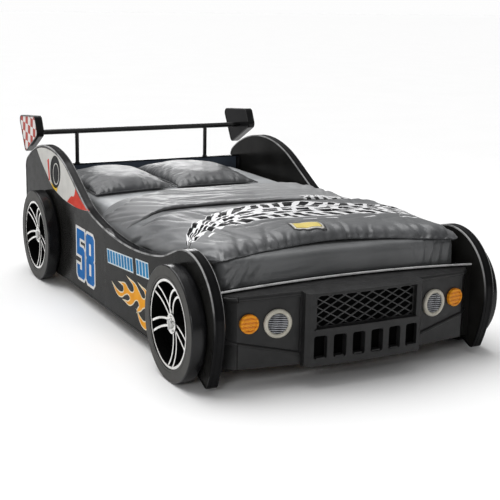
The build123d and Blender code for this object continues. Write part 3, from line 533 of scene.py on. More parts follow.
def checker(side):
    """Red and white squares on a wing plate's outer face, black elsewhere."""
    look = lacquer("plate_" + side, (0.01, 0.01, 0.01), (0.02, 0.02, 0.02))
    square, tilt = 0.041, math.radians(-5)
    turned = look.node("ShaderNodeMapping", "Vector", {"Vector": look.place, "Rotation": (tilt, 0, 0)})
    parity = 0.0
    for letter, offset in (("Y", 0.012), ("Z", 0.020)):
        parity = look.maths("FLOOR", (look.axis(letter, turned) + offset) / square) + parity
    odd = look.maths("FRACT", abs(parity) * 0.5) > 0.25
    squares = look.mix(odd, (0.78, 0.74, 0.72), (0.42, 0.045, 0.03))
    outer = look.facing("X") * SIDES[side] > 0.9
    return look.colour(look.mix(outer, (0.012, 0.012, 0.013), squares))


def print_film(name, dark, light):
    """Printed film with slight mottling and patchy dulling."""
    look = Look(name, light, 0.35, Specular_IOR_Level=0.03)
    look.colour(look.mottle(16, 5, dark, light)).gloss(60, 4, 0.35, 0.45)
    return look.bump(look.noise(800, 2), 0.00008, 0.2)


def assign(look, *names):
    """Give CAD nodes, chosen by the start of their names, this material."""
    for name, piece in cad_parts.items():
        if name.startswith(names):
            piece.data.materials.clear()
            piece.data.materials.append(look.material)


def dress_cad_nodes():
    """Materials of everything that CAD made."""
    assign(panel_black(), "side_board", "front_board")
    assign(headboard_navy(), "headboard")
    gloss = lacquer("gloss_trim", (0.005, 0.005, 0.0055), (0.009, 0.009, 0.0095), (0.10, 0.17), 0.16)
    assign(gloss, "headboard_trim", "wing_plate_trim", "corner_strip")
    # these two mouldings carry a painted highlight line along their edges
    assign(lined_moulding("lined_trim", 0.08, 0.36, 0.35, side_trim_line), "edge_trim")
    assign(lined_moulding("front_trim", 0.16, 0.62, 0.6, front_trim_line), "front_board_trim")
    assign(tyre_rubber(), "tyre")
    assign(rim_silver(), "rim")
    assign(painted_silver("cap_silver", (0.30, 0.30, 0.29), (0.42, 0.42, 0.41)), "hub_caps")
    black = ((0.002, 0.002, 0.002), (0.004, 0.004, 0.004), (0.8, 0.9))
    assign(plastic("moulded_black", *black, 300, 0.00005, 0.0), "wheel_backing", "grille_backing")
    mesh = ((0.030, 0.030, 0.030), (0.046, 0.046, 0.046), (0.3, 0.42))
    assign(plastic("mesh_black", *mesh), "grille_mesh")
    bumper = ((0.011, 0.011, 0.0112), (0.016, 0.016, 0.0163), (0.34, 0.46))
    assign(plastic("bumper_black", *bumper, 700, 0.0004), "bumper")
    assign(plastic("lamp_beige", (0.42, 0.40, 0.34), (0.54, 0.51, 0.44), (0.3, 0.42)), "lamp_ring")
    assign(lamp_glass(), "lamp_lens")
    assign(amber_lens(), "indicator")
    tube = lacquer("tube_black", (0.007, 0.007, 0.007), (0.012, 0.012, 0.012), (0.16, 0.24), 0.6)
    assign(tube, "wing_bar", "wing_post", "post_flanges")
    for side in SIDES:
        assign(checker(side), "wing_plate_" + side)
    assign(bare_wood(), "slats", "side_rail", "centre_beam")
    assign(plastic("leg_black", (0.02, 0.02, 0.02), (0.035, 0.035, 0.035), (0.4, 0.55)), "centre_legs")
    assign(zinc_steel(), "seam_plate", "seam_screws", "bumper_screws", "corner_brackets", "wheel_bolts")


# ------------------------------------------------------------ mesh helpers


def new_piece(name, vertices, faces, look, body="bedframe"):
    """A smooth mesh object in the bed's frame that rides on one body."""
    mesh = bpy.data.meshes.new(name)
    mesh.from_pydata([tuple(v) for v in vertices], [], faces)
    mesh.validate()
    mesh.update()
    mesh.polygons.foreach_set("use_smooth", [True] * len(mesh.polygons))
    mesh.materials.append(look.material)
    piece = add_object(name, mesh)
    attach(piece, body)
    return piece


def read_triples(items, attribute):
    """A vector attribute of every item as an array."""
    flat = np.zeros(len(items) * 3, np.float32)
    items.foreach_get(attribute, flat)
    return flat.reshape(-1, 3).astype(float)


def coordinates(mesh):
    """A mesh's vertices as an array."""
    return read_triples(mesh.vertices, "co")


def set_coordinates(mesh, points):
    """Write an array back to a mesh's vertices."""
    mesh.vertices.foreach_set("co", np.asarray(points, np.float32).ravel())
    mesh.update()


def smoothstep(value, low, high):
    """0 below low, 1 above high, smooth between; works on arrays."""
    t = np.clip((value - low) / (high - low), 0, 1)
    return t * t * (3 - 2 * t)


def noise_field(points, scale, seed):
    """Smooth noise from about -1 to 1 at each point, the same on every run."""
    shift = Vector((seed * 17.3, seed * 5.1, seed * 9.7))
    return np.array([noise.noise(Vector(p) * scale + shift) for p in points])


# ------------------------------------------------------------ printed graphics

FILM = 0.15  # millimetres: half the thickness of a print
LEVEL = 0.3  # millimetres from one layer of prints to the next
CORNER = "VECTOR"  # marks a sharp point of a curved outline
PRINT_SHADES = {
    "white": ((0.68, 0.67, 0.65), (0.74, 0.73, 0.71)),
    "blue": ((0.003, 0.115, 0.36), (0.004, 0.138, 0.43)),
    "sky": ((0.008, 0.17, 0.38), (0.016, 0.23, 0.47)),
    "pale": ((0.62, 0.70, 0.74), (0.70, 0.77, 0.80)),
    "orange": ((0.76, 0.30, 0.012), (0.84, 0.37, 0.02)),
    "cream": ((0.74, 0.66, 0.48), (0.80, 0.72, 0.55)),
    "putty": ((0.58, 0.57, 0.54), (0.64, 0.63, 0.60)),
    "red": ((0.56, 0.038, 0.020), (0.64, 0.050, 0.028)),
    "yellow": ((0.70, 0.44, 0.015), (0.78, 0.50, 0.03)),
    "black": ((0.004, 0.004, 0.0045), (0.007, 0.007, 0.008)),
}


def draw_loop(curve, loop, curved):
    """Add one closed loop to a curve: straight from point to point, or smooth except at its corners."""
    spline = curve.splines.new("BEZIER" if curved else "POLY")
    points = spline.bezier_points if curved else spline.points
    points.add(len(loop) - 1)
    for point, (along, height, *corner) in zip(points, loop):
        if curved:
            point.co = (along * MM, height * MM, 0)
            point.handle_left_type = point.handle_right_type = corner[0] if corner else "AUTO"
        else:
            point.co = (along * MM, height * MM, 0, 1)
    spline.use_cyclic_u = True


def filled_outline(name, loops, shade, side, level, spread=0.0, curved=False):
    """A flat print on a side panel, cut from loops of (behind the axle, height) in millimetres."""
    curve = bpy.data.curves.new(name, "CURVE")
    curve.dimensions = "2D"
    curve.fill_mode = "BOTH"
    curve.offset = spread * MM
    curve.extrude = FILM * MM
    curve.resolution_u = 8
    for loop in loops:
        draw_loop(curve, loop, curved)
    flat = add_object(name, curve)
    bpy.context.view_layer.update()
    mesh = bpy.data.meshes.new_from_object(evaluated(flat))
    bpy.data.objects.remove(flat)
    sign = SIDES[side]
    face = sign * (SIDE_FACE + (FILM + LEVEL * level) * MM)
    for vertex in mesh.vertices:
        along, height, depth = vertex.co
        vertex.co = (face + sign * depth, AXLE_Y + along, height)
    work = bmesh.new()
    work.from_mesh(mesh)
    bmesh.ops.remove_doubles(work, verts=work.verts, dist=1e-6)
    bmesh.ops.dissolve_degenerate(work, edges=work.edges, dist=1e-7)
    bmesh.ops.recalc_face_normals(work, faces=work.faces)
    work.to_mesh(mesh)
    work.free()
    mesh.name = name
    mesh.materials.clear()
    mesh.materials.append(PRINTS[shade].material)
    piece = add_object(name, mesh)
    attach(piece, "bedframe")


def block_digit(left, right, loops):
    """Loops of (across, height), moved so that the digit starts at `left` and runs towards `right`."""
    way = 1 if right > left else -1
    return [[(left + way * across, height) for across, height in loop] for loop in loops]


def digit_five(wide, low, high, bar, cut):
    """Outline of a block five."""
    middle = (low + high) / 2 + bar * 0.35
    under, over = middle - bar * 0.5, middle + bar * 0.5
    hook = low + bar * 1.5
    return [[
        (0, high), (wide, high), (wide, high - bar), (bar, high - bar), (bar, over), (wide - cut, over),
        (wide, over - cut), (wide, low + cut), (wide - cut, low), (cut, low), (0, low + cut), (0, hook),
        (bar, hook), (bar, low + bar), (wide - bar, low + bar), (wide - bar, under), (0, under),
    ]]


def digit_eight(wide, low, high, bar, cut):
    """Outline of a block eight and its two openings."""
    middle = (low + high) / 2
    notch = cut * 0.7
    right = [
        (wide - cut, high), (wide, high - cut), (wide, middle + notch), (wide - cut * 0.5, middle),
        (wide, middle - notch), (wide, low + cut), (wide - cut, low),
    ]
    outline = [(cut, high), *right, *((wide - across, height) for across, height in right[:0:-1])]
    openings = [
        [(bar, bottom), (bar, top), (wide - bar, top), (wide - bar, bottom)]
        for bottom, top in ((middle + bar * 0.5, high - bar), (low + bar, middle - bar * 0.5))
    ]
    return [outline, *openings]


def make_number(side):
    """Race number in blue blocks with a white outline; it reads the right way round on both sides."""
    rear, front, low, high = 1134, 914, 104, 318
    bar, cut, gap = 38, 15, 9
    start, end = (rear, front) if side == "left" else (front, rear)
    middle = (start + end) / 2
    gap = gap if end > start else -gap
    for index, (outline, left, right) in enumerate(
        ((digit_five, start, middle - gap), (digit_eight, middle + gap, end))
    ):
        loops = block_digit(left, right, outline(abs(right - left), low, high, bar, cut))
        filled_outline(f"number_border_{side}_{index}", loops[:1], "white", side, 1, spread=12)
        filled_outline(f"number_{side}_{index}", loops, "blue", side, 2)


def make_dashes(side):
    """Two groups of slanting speed dashes ahead of the number."""
    rise, lean, wide, pitch = 0.135, 9, 22, 31
    groups = ((745, 9, 48), (432, 4, 52))
    dashes = [(start - index * pitch, tall) for start, count, tall in groups for index in range(count)]
    for number, (rear, tall) in enumerate(dashes):
        low = 254 + (dashes[0][0] - rear) * rise * 0.55
        front, high = rear - wide, low + tall
        loop = [(rear, low), (front, low + 2), (front + lean, high + 2), (rear + lean, high)]
        filled_outline(f"dash_border_{side}_{number}", [loop], "pale", side, 1, spread=5)
        filled_outline(f"dash_{side}_{number}", [loop], "sky", side, 2)


def make_flames(side):
    """Curling flames that stream back from the front wheel, and a small one under them."""
    tongues = [
        (684, 172, CORNER), (640, 161), (600, 161), (572, 176), (576, 194), (606, 200, CORNER),
        (556, 207), (520, 192), (486, 188), (462, 204), (470, 222), (506, 236, CORNER), (448, 229),
        (412, 210), (376, 192), (348, 202), (352, 222), (386, 236, CORNER), (334, 226), (320, 200),
        (320, 160, CORNER), (345, 166), (372, 158), (396, 142), (432, 128, CORNER), (424, 142),
        (410, 156), (420, 172), (448, 170), (478, 148), (514, 134), (560, 138, CORNER), (520, 146),
        (504, 162), (524, 174), (558, 166), (600, 146), (646, 148),
    ]
    ember = [
        (320, 150, CORNER), (328, 126), (358, 106), (394, 110), (428, 126, CORNER), (404, 98), (374, 84),
        (342, 84), (318, 104),
    ]
    for name, loop in (("flame", tongues), ("ember", ember)):
        filled_outline(f"{name}_border_{side}", [loop], "cream", side, 1, spread=4.5, curved=True)
        filled_outline(f"{name}_{side}", [loop], "orange", side, 2, curved=True)


def oval(centre, half_long, half_high):
    """A leaning oval of short straight steps."""
    steps, lean = 28, 0.1
    loop = []
    for step in range(steps):
        angle = 2 * math.pi * step / steps
        u, v = half_long * math.cos(angle), half_high * math.sin(angle)
        loop.append((centre[0] + u - v * lean, centre[1] + v))
    return loop


def make_fin_print(side):
    """Pale swoosh with a dark oval vent, a red bar, a yellow sliver and a red tip on the tail fin."""
    swoosh = [
        (1700, 586, CORNER), (1646, 546), (1549, 487), (1484, 450), (1368, 421), (1245, 408), (1107, 407),
        (958, 420, CORNER), (1052, 441), (1140, 484), (1215, 526), (1300, 568), (1410, 598), (1530, 607),
        (1620, 602),
    ]
    tip = [
        (1144, 486, CORNER), (1150, 470), (1166, 450), (1200, 444), (1234, 426), (1258, 410, CORNER),
        (1107, 407), (962, 421, CORNER), (1052, 441),
    ]
    bar = [(1536, 556), (1514, 566), (1502, 470), (1518, 462)]
    sliver = [(1497, 462, CORNER), (1462, 455), (1392, 452, CORNER), (1404, 430, CORNER), (1460, 441)]
    vent = oval((1420, 518), 74, 74)
    ring = [oval((1410, 510), 44, 50), oval((1410, 510), 39, 45)]
    for name, loops, shade, level, curved in (
        ("swoosh", [swoosh], "putty", 1, True),
        ("tip", [tip], "red", 2, True),
        ("vent", [vent], "black", 2, False),
        ("vent_ring", ring, "putty", 3, False),
        ("bar", [bar], "red", 2, False),
        ("sliver", [sliver], "yellow", 2, True),
    ):
        filled_outline(f"fin_{name}_{side}", loops, shade, side, level, curved=curved)


# ------------------------------------------------------------ bedding

WALL = TRIM_INNER - 0.003  # cloth that hangs beside the mattress leans against the side panels
CELL, SHEET_CELL = 0.0125, 0.016  # mesh sizes of the bedding and the fitted sheet before their subdivision
COLUMNS = 107  # of the duvet and its turned-down part
HEM_ROLL = 0.07  # length over which the duvet rounds up from its foot hem
CROWN = 0.010  # rise of the mattress's top
LABEL_THICKNESS = 0.0007
PILLOW_SKEW = {"left": 0.034, "right": -0.006}  # the left pillow lies slightly askew
PILLOW_BACK = {"left": -0.006, "right": 0.014}
PILLOW_SEED = {"left": 70, "right": 80}
UP = np.array([0, 0, 1])


def crown(x, y):
    """How far the mattress bulges up at these places, most in the middle of its foot end."""
    arched = np.clip(1 - (x / MATTRESS_HIGH.x) ** 2, 0, 1)
    return CROWN * arched * (1 - smoothstep(y, behind(150), behind(900)))


def inflate(piece, hem, pressure, frames, cap, grow, hem_shrink, free=1.0):
    """Short cloth simulation with air inside the piece.

    The hem shrinks by its weights. No point moves further than cap, times its share in `free`.
    """
    rest = coordinates(piece.data)
    group = piece.vertex_groups.new(name="hem")
    for index, weight in enumerate(hem):
        if weight > 0:
            group.add([index], float(weight), "REPLACE")
    cloth = piece.modifiers.new("cloth", "CLOTH")
    settings = cloth.settings
    settings.quality = 6
    settings.mass = 0.25
    settings.tension_stiffness = settings.compression_stiffness = 18
    settings.shear_stiffness = 6
    settings.bending_stiffness = 0.2
    settings.use_pressure = True
    settings.uniform_pressure_force = pressure
    settings.effector_weights.gravity = 0
    settings.shrink_min = -grow
    settings.vertex_group_shrink = "hem"
    settings.shrink_max = hem_shrink
    cloth.point_cache.frame_start = 1
    cloth.point_cache.frame_end = frames
    for step in range(1, frames + 1):
        scene.frame_set(step)
    shift = coordinates(evaluated(piece).data) - rest
    piece.modifiers.remove(cloth)
    scene.frame_set(1)
    far = np.maximum(np.linalg.norm(shift, axis=1), 1e-9)
    shift *= np.minimum(1.0, cap / far)[:, None] * np.reshape(free, (-1, 1))
    set_coordinates(piece.data, rest + shift)


def refine(piece):
    """Subdivide a piece once, smoothly, and give its points and normals for the fine folds that follow."""
    modifier = piece.modifiers.new("smooth", "SUBSURF")
    modifier.levels = modifier.render_levels = 1
    finer = bpy.data.meshes.new_from_object(evaluated(piece))
    piece.modifiers.remove(modifier)
    coarse = piece.data
    piece.data = finer
    bpy.data.meshes.remove(coarse)
    finer.name = piece.name
    finer.polygons.foreach_set("use_smooth", [True] * len(finer.polygons))
    return coordinates(finer), read_triples(finer.vertex_normals, "vector")


def puckers(along, away, seed, pitch, reach, wide):
    """Depth, 0 to 1, of the puckers that run back from a gathered seam.

    Each point is given by its place along the seam and its distance away from it.
    """
    draw = random.Random(seed)
    depth = np.zeros(len(along))
    place = along.min()
    while place < along.max():
        place += pitch * draw.uniform(0.5, 1.5)
        long = reach * draw.uniform(0.4, 1.3)
        slant = draw.uniform(-0.4, 0.4)
        width = pitch * wide * draw.uniform(0.7, 1.4)
        strength = draw.uniform(0.45, 1.0)
        fade = np.clip(1 - away / long, 0, 1)
        across = (along - place - slant * away) / (width * (1.4 - 0.6 * fade))
        depth = np.maximum(depth, strength * np.exp(-across**2) * fade)
    return depth


def creases(points, heading, pitch, length, seed):
    """Thin ridges, 0 to 1, that run along a heading given by its X, Y and Z parts."""
    ahead = Vector(heading).normalized()
    beside = ahead.cross(Vector((0.3, 0.2, 0.93))).normalized()
    upward = ahead.cross(beside)
    axes = np.array([ahead / length, beside / pitch, upward / pitch]).T
    swirl = noise_field(points @ axes, 1.0, seed)
    return np.clip(1 - np.abs(swirl) * 5.5, 0, 1) ** 1.5


def long_folds(across, along, heading, pitch, length, seed):
    """Soft folds, 0 to 1, that run along a heading in the cloth's own flat coordinates."""
    lean = math.atan2(heading[1], heading[0])
    ahead = across * math.cos(lean) + along * math.sin(lean)
    beside = along * math.cos(lean) - across * math.sin(lean)
    flat = np.stack([ahead / length, beside / pitch, np.zeros(len(across))], axis=1)
    return smoothstep(1 - np.abs(noise_field(flat, 1.0, seed)) * 3.2, 0, 1)


def new_slab(name, outer, inner, look, body):
    """A soft piece between two equal grids of points. It closes along the outer grid's border."""
    outer, inner = np.array(outer), np.array(inner)
    rows, columns = outer.shape[:2]
    index_out = np.arange(rows * columns).reshape(rows, columns)
    index_in = index_out.copy()
    index_in[1:-1, 1:-1] += rows * columns
    vertices = np.concatenate([outer.reshape(-1, 3), inner.reshape(-1, 3)])
    faces = []
    for r in range(rows - 1):
        for c in range(columns - 1):
            corners = ((r, c), (r, c + 1), (r + 1, c + 1), (r + 1, c))
            faces.append([index_out[corner] for corner in corners])
            faces.append([index_in[corner] for corner in corners[:1] + corners[:0:-1]])
    used = sorted({i for face in faces for i in face})
    renumber = {old: new for new, old in enumerate(used)}
    return new_piece(name, vertices[used], [[renumber[i] for i in face] for face in faces], look, body)


def arch(half, top, low, across, down):
    """Evenly spaced points and outward normals of an arch over the bed with elliptical shoulders."""
    turn = np.linspace(0, math.pi / 2, 16)
    shoulder = np.stack([-half + across * (1 - np.cos(turn)), top - down * (1 - np.sin(turn))], axis=1)
    left = np.concatenate([[(-half, low)], shoulder])
    path = np.concatenate([left, left[::-1] * (-1, 1)])
    length = np.concatenate([[0], np.cumsum(np.linalg.norm(np.diff(path, axis=0), axis=1))])
    wanted = np.linspace(0, length[-1], COLUMNS)
    points = np.stack([np.interp(wanted, length, path[:, 0]), np.interp(wanted, length, path[:, 1])], axis=1)
    ahead = np.gradient(points, axis=0)
    ahead /= np.linalg.norm(ahead, axis=1)[:, None]
    return points, np.stack([-ahead[:, 1], ahead[:, 0]], axis=1)


def on_mattress(section, y):
    """Points of a cross-section at these places along the bed, raised by the mattress's crown."""
    x, z = section.T
    return np.stack([x, y, z + crown(x, y)], axis=1)


def foot_hem(x):
    """Y of the duvet's foot hem, which lies on the mattress and droops over its corners."""
    return np.maximum(behind(-72) - 0.078 * ((x + 0.05) / 0.5) ** 2, DUVET_LOW.y + 0.004)


def make_duvet():
    """Puffy duvet that hangs into the gaps beside the mattress and is gathered at its foot hem."""
    low = DUVET_LOW.z + 0.017
    head = behind(955)
    rows = int((head - behind(-90)) / CELL)
    beneath, _ = arch(MATTRESS_HIGH.x + 0.004, UNDER, low, across=0.02, down=0.02)
    hanging = smoothstep(UNDER - beneath[:, 1], 0.0, 0.03)
    start = foot_hem(beneath[:, 0])
    start += hanging * (np.maximum(start, behind(-60)) - start)
    outer, inner = [], []
    for along in np.arange(rows) / (rows - 1):
        # towards the head it lies flatter, to make room for the part that is turned down on it
        flat = smoothstep(along, 0.50, 0.66)
        top = UNDER + 0.046 - 0.013 * flat
        over, _ = arch(WALL, top, low, across=0.10 + 0.08 * flat, down=0.065 + 0.035 * flat)
        y = start + (head - start) * along
        roll = np.clip((y - start) / HEM_ROLL, 0, 1)
        puff = np.sqrt(1 - (1 - roll) ** 2)
        outer.append(on_mattress(beneath + (over - beneath) * puff[:, None], y))
        inner.append(on_mattress(beneath, y))
    piece = new_slab("duvet_cover", outer, inner, DUVET_SATIN, "duvet")
    points = coordinates(piece.data)
    rim = 1 - smoothstep(points[:, 1] - foot_hem(points[:, 0]), 0.004, 0.03)
    free = 1 - smoothstep(points[:, 1], behind(420), behind(540))
    inflate(piece, rim, pressure=2.2, frames=16, cap=0.014, grow=0.04, hem_shrink=0.18, free=free)
    points, normals = refine(piece)
    press(piece, points, normals, duvet_folds(points, normals))
    return piece


def duvet_folds(points, normals):
    """Depth of the duvet's puckers and folds."""
    x, y, z = points.T
    behind_hem = y - foot_hem(x)
    shown = 1 - smoothstep(y, behind(520), behind(640))
    gathers = puckers(x, behind_hem, seed=11, pitch=0.038, reach=0.13, wide=0.27)
    gathers += 0.5 * puckers(x, behind_hem, seed=12, pitch=0.024, reach=0.06, wide=0.34)
    deep = 0.019 * gathers * smoothstep(normals[:, 2], -0.2, 0.3)
    # long folds beside the shoulders, which come nearer the middle towards the foot
    arc = np.abs(x) + np.clip(UNDER + 0.03 - z, 0, None)
    for side, seed, full in ((-1, 21, 1.0), (1, 31, 0.4)):
        near = full * smoothstep(x * side, 0.14, 0.42) * shown
        folded = long_folds(arc, y, (0.36, 0.93), pitch=0.055, length=0.50, seed=seed)
        finer = long_folds(arc, y, (0.30, 0.95), pitch=0.030, length=0.32, seed=seed + 1)
        deep += near * (0.0085 * folded + 0.003 * finer)
    # a few long creases across the top, and shallow swells everywhere
    across = long_folds(x, y, (1.0, 0.2), pitch=0.05, length=0.5, seed=41)
    middle = 1 - smoothstep(np.abs(x), 0.25, 0.42)
    deep += 0.0035 * across * shown * smoothstep(behind_hem, 0.05, 0.2) * middle
    deep += 0.005 * noise_field(points * np.array([0.8, 1.5, 1.0]), 4.0, 42) * shown
    return deep * np.clip(behind_hem / 0.012, 0.15, 1)


def press(piece, points, normals, deep):
    """Press folds into a piece of the duvet, which stays above the mattress and inside the side panels."""
    points -= normals * deep[:, None]
    x, y, z = points.T
    lowest = UNDER - 0.0005 + crown(x, y)
    over_mattress = (np.abs(x) < MATTRESS_HIGH.x - 0.012) & (z > UNDER - 0.03)
    points[over_mattress, 2] = np.maximum(z, lowest)[over_mattress]
    points[:, 0] = np.sign(x) * np.minimum(np.abs(x), TRIM_INNER - 0.0015)
    set_coordinates(piece.data, points)


def fold_front(x):
    """Y of the front hem of the turned-down part on top of the bed."""
    off = x + 0.15
    return behind(612) - np.where(off > 0, 0.39, 0.12) * off**2


def make_duvet_fold():
    """The duvet's head end, turned down over it, with a rounded turn at the back."""
    low = DUVET_LOW.z + 0.027
    thick, turn_radius = 0.018, 0.026
    flat_steps, turn_steps = 24, 12
    over, outward = arch(WALL, UNDER + 0.054, low, across=0.185, down=0.105)
    # down the sides the cloth trails backwards
    drop = np.clip(UNDER + 0.02 - over[:, 1], 0, None)
    front = fold_front(over[:, 0]) + drop
    back = behind(966) - 0.44 * (over[:, 0] - 0.02) ** 2 + np.minimum(2.0 * drop, 0.10) - turn_radius
    outer, inner = [], []

    def add_row(y, out, inner_y, into):
        """One row: the outer surface sunk by `out` and the inner one by `into`, along the arch's normals."""
        for grid, place, depth in ((outer, y, out), (inner, inner_y, into)):
            x, z = (over - outward * depth).T
            grid.append(on_mattress(np.stack([x, np.maximum(z, low)], axis=1), place))

    for step in (0.0, 0.0025, 0.006, 0.011, 0.018, 0.027):
        open_by = math.sqrt(1 - (1 - min(1.0, step / 0.011)) ** 2)
        y = front + step
        add_row(y, thick * 0.5 * (1 - open_by), y, thick * (0.5 + 0.5 * open_by))
    start = y
    for step in range(1, flat_steps + 1):
        y = start + (back - start) * step / flat_steps
        add_row(y, 0.0, y, thick)
    inner_radius = turn_radius - thick
    for step in range(1, turn_steps + 1):
        angle = math.radians(165) * step / turn_steps
        ahead, down = math.sin(angle), 1 - math.cos(angle)
        y, inner_y = back + turn_radius * ahead, back + inner_radius * ahead
        add_row(y, turn_radius * down, inner_y, thick + inner_radius * down)
    piece = new_slab("duvet_turned_down", outer, inner, FOLD_SATIN, "duvet")
    points = coordinates(piece.data)
    rim = 1 - smoothstep(points[:, 1] - fold_front(points[:, 0]), 0.0, 0.02)
    inflate(piece, rim, pressure=1.2, frames=12, cap=0.006, grow=0.03, hem_shrink=0.1)
    points, normals = refine(piece)
    x, y, z = points.T
    upper = smoothstep(normals[:, 2], 0.0, 0.4)
    from_hem = np.abs(y - fold_front(x))
    deep = 0.0035 * puckers(x, from_hem, seed=51, pitch=0.035, reach=0.05, wide=0.2) * upper
    arc = np.abs(x) + np.clip(UNDER + 0.04 - z, 0, None)
    beside = smoothstep(np.abs(x), 0.25, 0.45)
    across = long_folds(x, y, (1.0, -0.12), pitch=0.032, length=0.45, seed=52)
    deep += 0.0045 * across * upper * (1 - beside)
    deep += 0.006 * long_folds(arc, y, (0.5, 0.86), pitch=0.045, length=0.40, seed=53) * beside
    deep += 0.0035 * noise_field(points * np.array([0.6, 1.8, 1.0]), 4.5, 54) * upper
    press(piece, points, normals, deep)
    # painted shadow: a near-black tube laid along the crease under the front hem of the turned-down part
    hem_line = points[2:COLUMNS - 2] - np.array([0, 0.001, 0.006])
    add_piping("duvet_turned_hem_shadow", hem_line, "duvet", HEM_SHADOW, radius=0.0036, closed=False)
    return piece


def make_mattress():
    """Mattress in its fitted satin sheet: crowned, with soft edges and pulled corners at the foot."""
    size = MATTRESS_HIGH - MATTRESS_LOW
    counts = [max(2, int(length / SHEET_CELL)) for length in size]
    numbers, faces = {}, []
    for axis in range(3):
        first, second = (other for other in range(3) if other != axis)
        for end in (0, counts[axis]):
            # the corners go round so that every face looks outwards
            steps = ((0, 0), (1, 0), (1, 1), (0, 1))
            if (end == 0) != (axis == 1):
                steps = ((0, 0), (0, 1), (1, 1), (1, 0))
            for i in range(counts[first]):
                for j in range(counts[second]):
                    corners = [[end] * 3 for _ in steps]
                    for corner, (right, up) in zip(corners, steps):
                        corner[first], corner[second] = i + right, j + up
                    faces.append([numbers.setdefault(tuple(corner), len(numbers)) for corner in corners])
    unit = np.array(list(numbers)) / counts
    vertices = round_box(unit, plan_radius=0.045, edge_radius=0.032)
    piece = new_piece("mattress_in_sheet", vertices, faces, SHEET_SATIN, "mattress")
    points, normals = refine(piece)
    x, y, z = points.T
    # slanting creases at the left corner of the foot, upright ones at the right
    left, right = smoothstep(-x, 0.22, 0.44), smoothstep(x, 0.24, 0.42)
    slanted = x - 0.75 * (z - MATTRESS_LOW.z)
    from_left, from_top = x - MATTRESS_LOW.x, MATTRESS_HIGH.z + 0.01 - z
    deep = 0.018 * left * puckers(slanted, from_left, seed=61, pitch=0.042, reach=0.30, wide=0.3)
    deep += 0.004 * left * creases(points, (0.9, 0.0, -0.43), pitch=0.040, length=0.20, seed=62)
    deep += 0.022 * right * puckers(x, from_top, seed=63, pitch=0.038, reach=0.36, wide=0.3)
    deep += 0.003 * creases(points, (1.0, 0.0, 0.1), pitch=0.05, length=0.5, seed=64)
    deep = deep * smoothstep(-normals[:, 1], 0.2, 0.8) + 0.0012 * (1 + noise_field(points, 7, 65))
    upper = smoothstep(z, MATTRESS_HIGH.z - 0.09, MATTRESS_HIGH.z)
    points -= normals * deep[:, None]
    points[:, 2] += crown(x, y) * upper
    set_coordinates(piece.data, points)
    return piece


def round_box(unit, plan_radius, edge_radius):
    """Map a unit box's surface to the mattress, with rounded upright corners and horizontal edges."""
    low, high = np.array(MATTRESS_LOW), np.array(MATTRESS_HIGH)
    half = (high - low) / 2
    points = (unit * 2 - 1) * half
    core = np.clip(points[:, :2], -(half[:2] - plan_radius), half[:2] - plan_radius)
    out = points[:, :2] - core
    far = np.linalg.norm(out, axis=1)
    scale = np.where(far > 1e-9, np.abs(out).max(axis=1) / np.maximum(far, 1e-9), 1.0)
    points[:, :2] = core + out * scale[:, None]
    rise = np.abs(points[:, 2]) - np.clip(np.abs(points[:, 2]), 0, half[2] - edge_radius)
    side_gap = (half[:2] - np.abs(points[:, :2])).min(axis=1)
    near = np.clip(1 - side_gap / edge_radius, 0, 1)
    up = np.clip(rise / edge_radius, 0, 1)
    lost = 0.8 * edge_radius * (1 - 1 / np.maximum(1.0, np.sqrt(near**2 + up**2))) * (near * up > 0)
    points[:, 2] -= np.sign(points[:, 2]) * lost
    for axis in (0, 1):
        outermost = np.abs(points[:, axis]) > half[axis] - edge_radius
        points[outermost, axis] -= np.sign(points[outermost, axis]) * lost[outermost]
    return points + (low + high) / 2


def make_pillow(side):
    """Stuffed pillow whose cover is gathered into a seam all round."""
    low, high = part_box("pillow_" + side)
    centre = (low + high) / 2
    half_x, half_y = (high.x - low.x) / 2 - 0.002, (high.y - low.y) / 2 - 0.006
    columns, rows = int(2 * half_x / CELL) | 1, int(2 * half_y / CELL) | 1
    u, v = np.meshgrid(np.linspace(-1, 1, columns), np.linspace(-1, 1, rows))
    thick = np.clip((1 - u**4) * (1 - np.abs(v) ** 3), 0, 1) ** 0.5
    sag = 1 - 0.08 * u * u - 0.05 * v * v
    # the sides pull in between the corners, and the corners are slightly rounded
    corner = 0.02 * u * u * v * v
    x = centre.x + u * half_x * (1 - 0.035 * (1 - v * v) * u * u - corner)
    y = centre.y + v * half_y * (1 - 0.028 * (1 - u * u) * v * v - corner)
    y += PILLOW_SKEW[side] * u + PILLOW_BACK[side]
    seam = low.z + 0.014 - 0.004 * (u * v) ** 4
    outer = np.stack([x, y, seam + 0.044 * thick * sag], axis=2)
    inner = np.stack([x, y, seam - 0.013 * thick], axis=2)
    piece = new_slab("pillow_case_" + side, outer, inner, PILLOW_SATIN, "pillow_" + side)
    border = np.concatenate([outer[0], outer[1:, -1], outer[-1, -2::-1], outer[-2:0:-1, 0]])
    away, _ = seam_places(border, coordinates(piece.data))
    rim = 1 - smoothstep(away, 0.008, 0.025)
    inflate(piece, rim, pressure=3.2, frames=16, cap=0.010, grow=0.03, hem_shrink=0.12)
    points, normals = refine(piece)
    away, along = seam_places(border, points)
    seed = PILLOW_SEED[side]
    deep = 0.0075 * puckers(along, away, seed, pitch=0.036, reach=0.13, wide=0.18)
    deep += 0.0035 * puckers(along, away, seed + 1, pitch=0.021, reach=0.06, wide=0.22)
    deep += 0.004 * noise_field(points, 6, seed + 2)
    fade = np.clip(away / 0.008, 0, 1) * smoothstep(normals[:, 2], -0.3, 0.1)
    points -= normals * (deep * fade)[:, None]
    points[:, 2] = np.clip(points[:, 2], UNDER - 0.0005, None)
    set_coordinates(piece.data, points)
    add_piping(f"pillow_piping_{side}", border, "pillow_" + side, PILLOW_SATIN)
    return piece


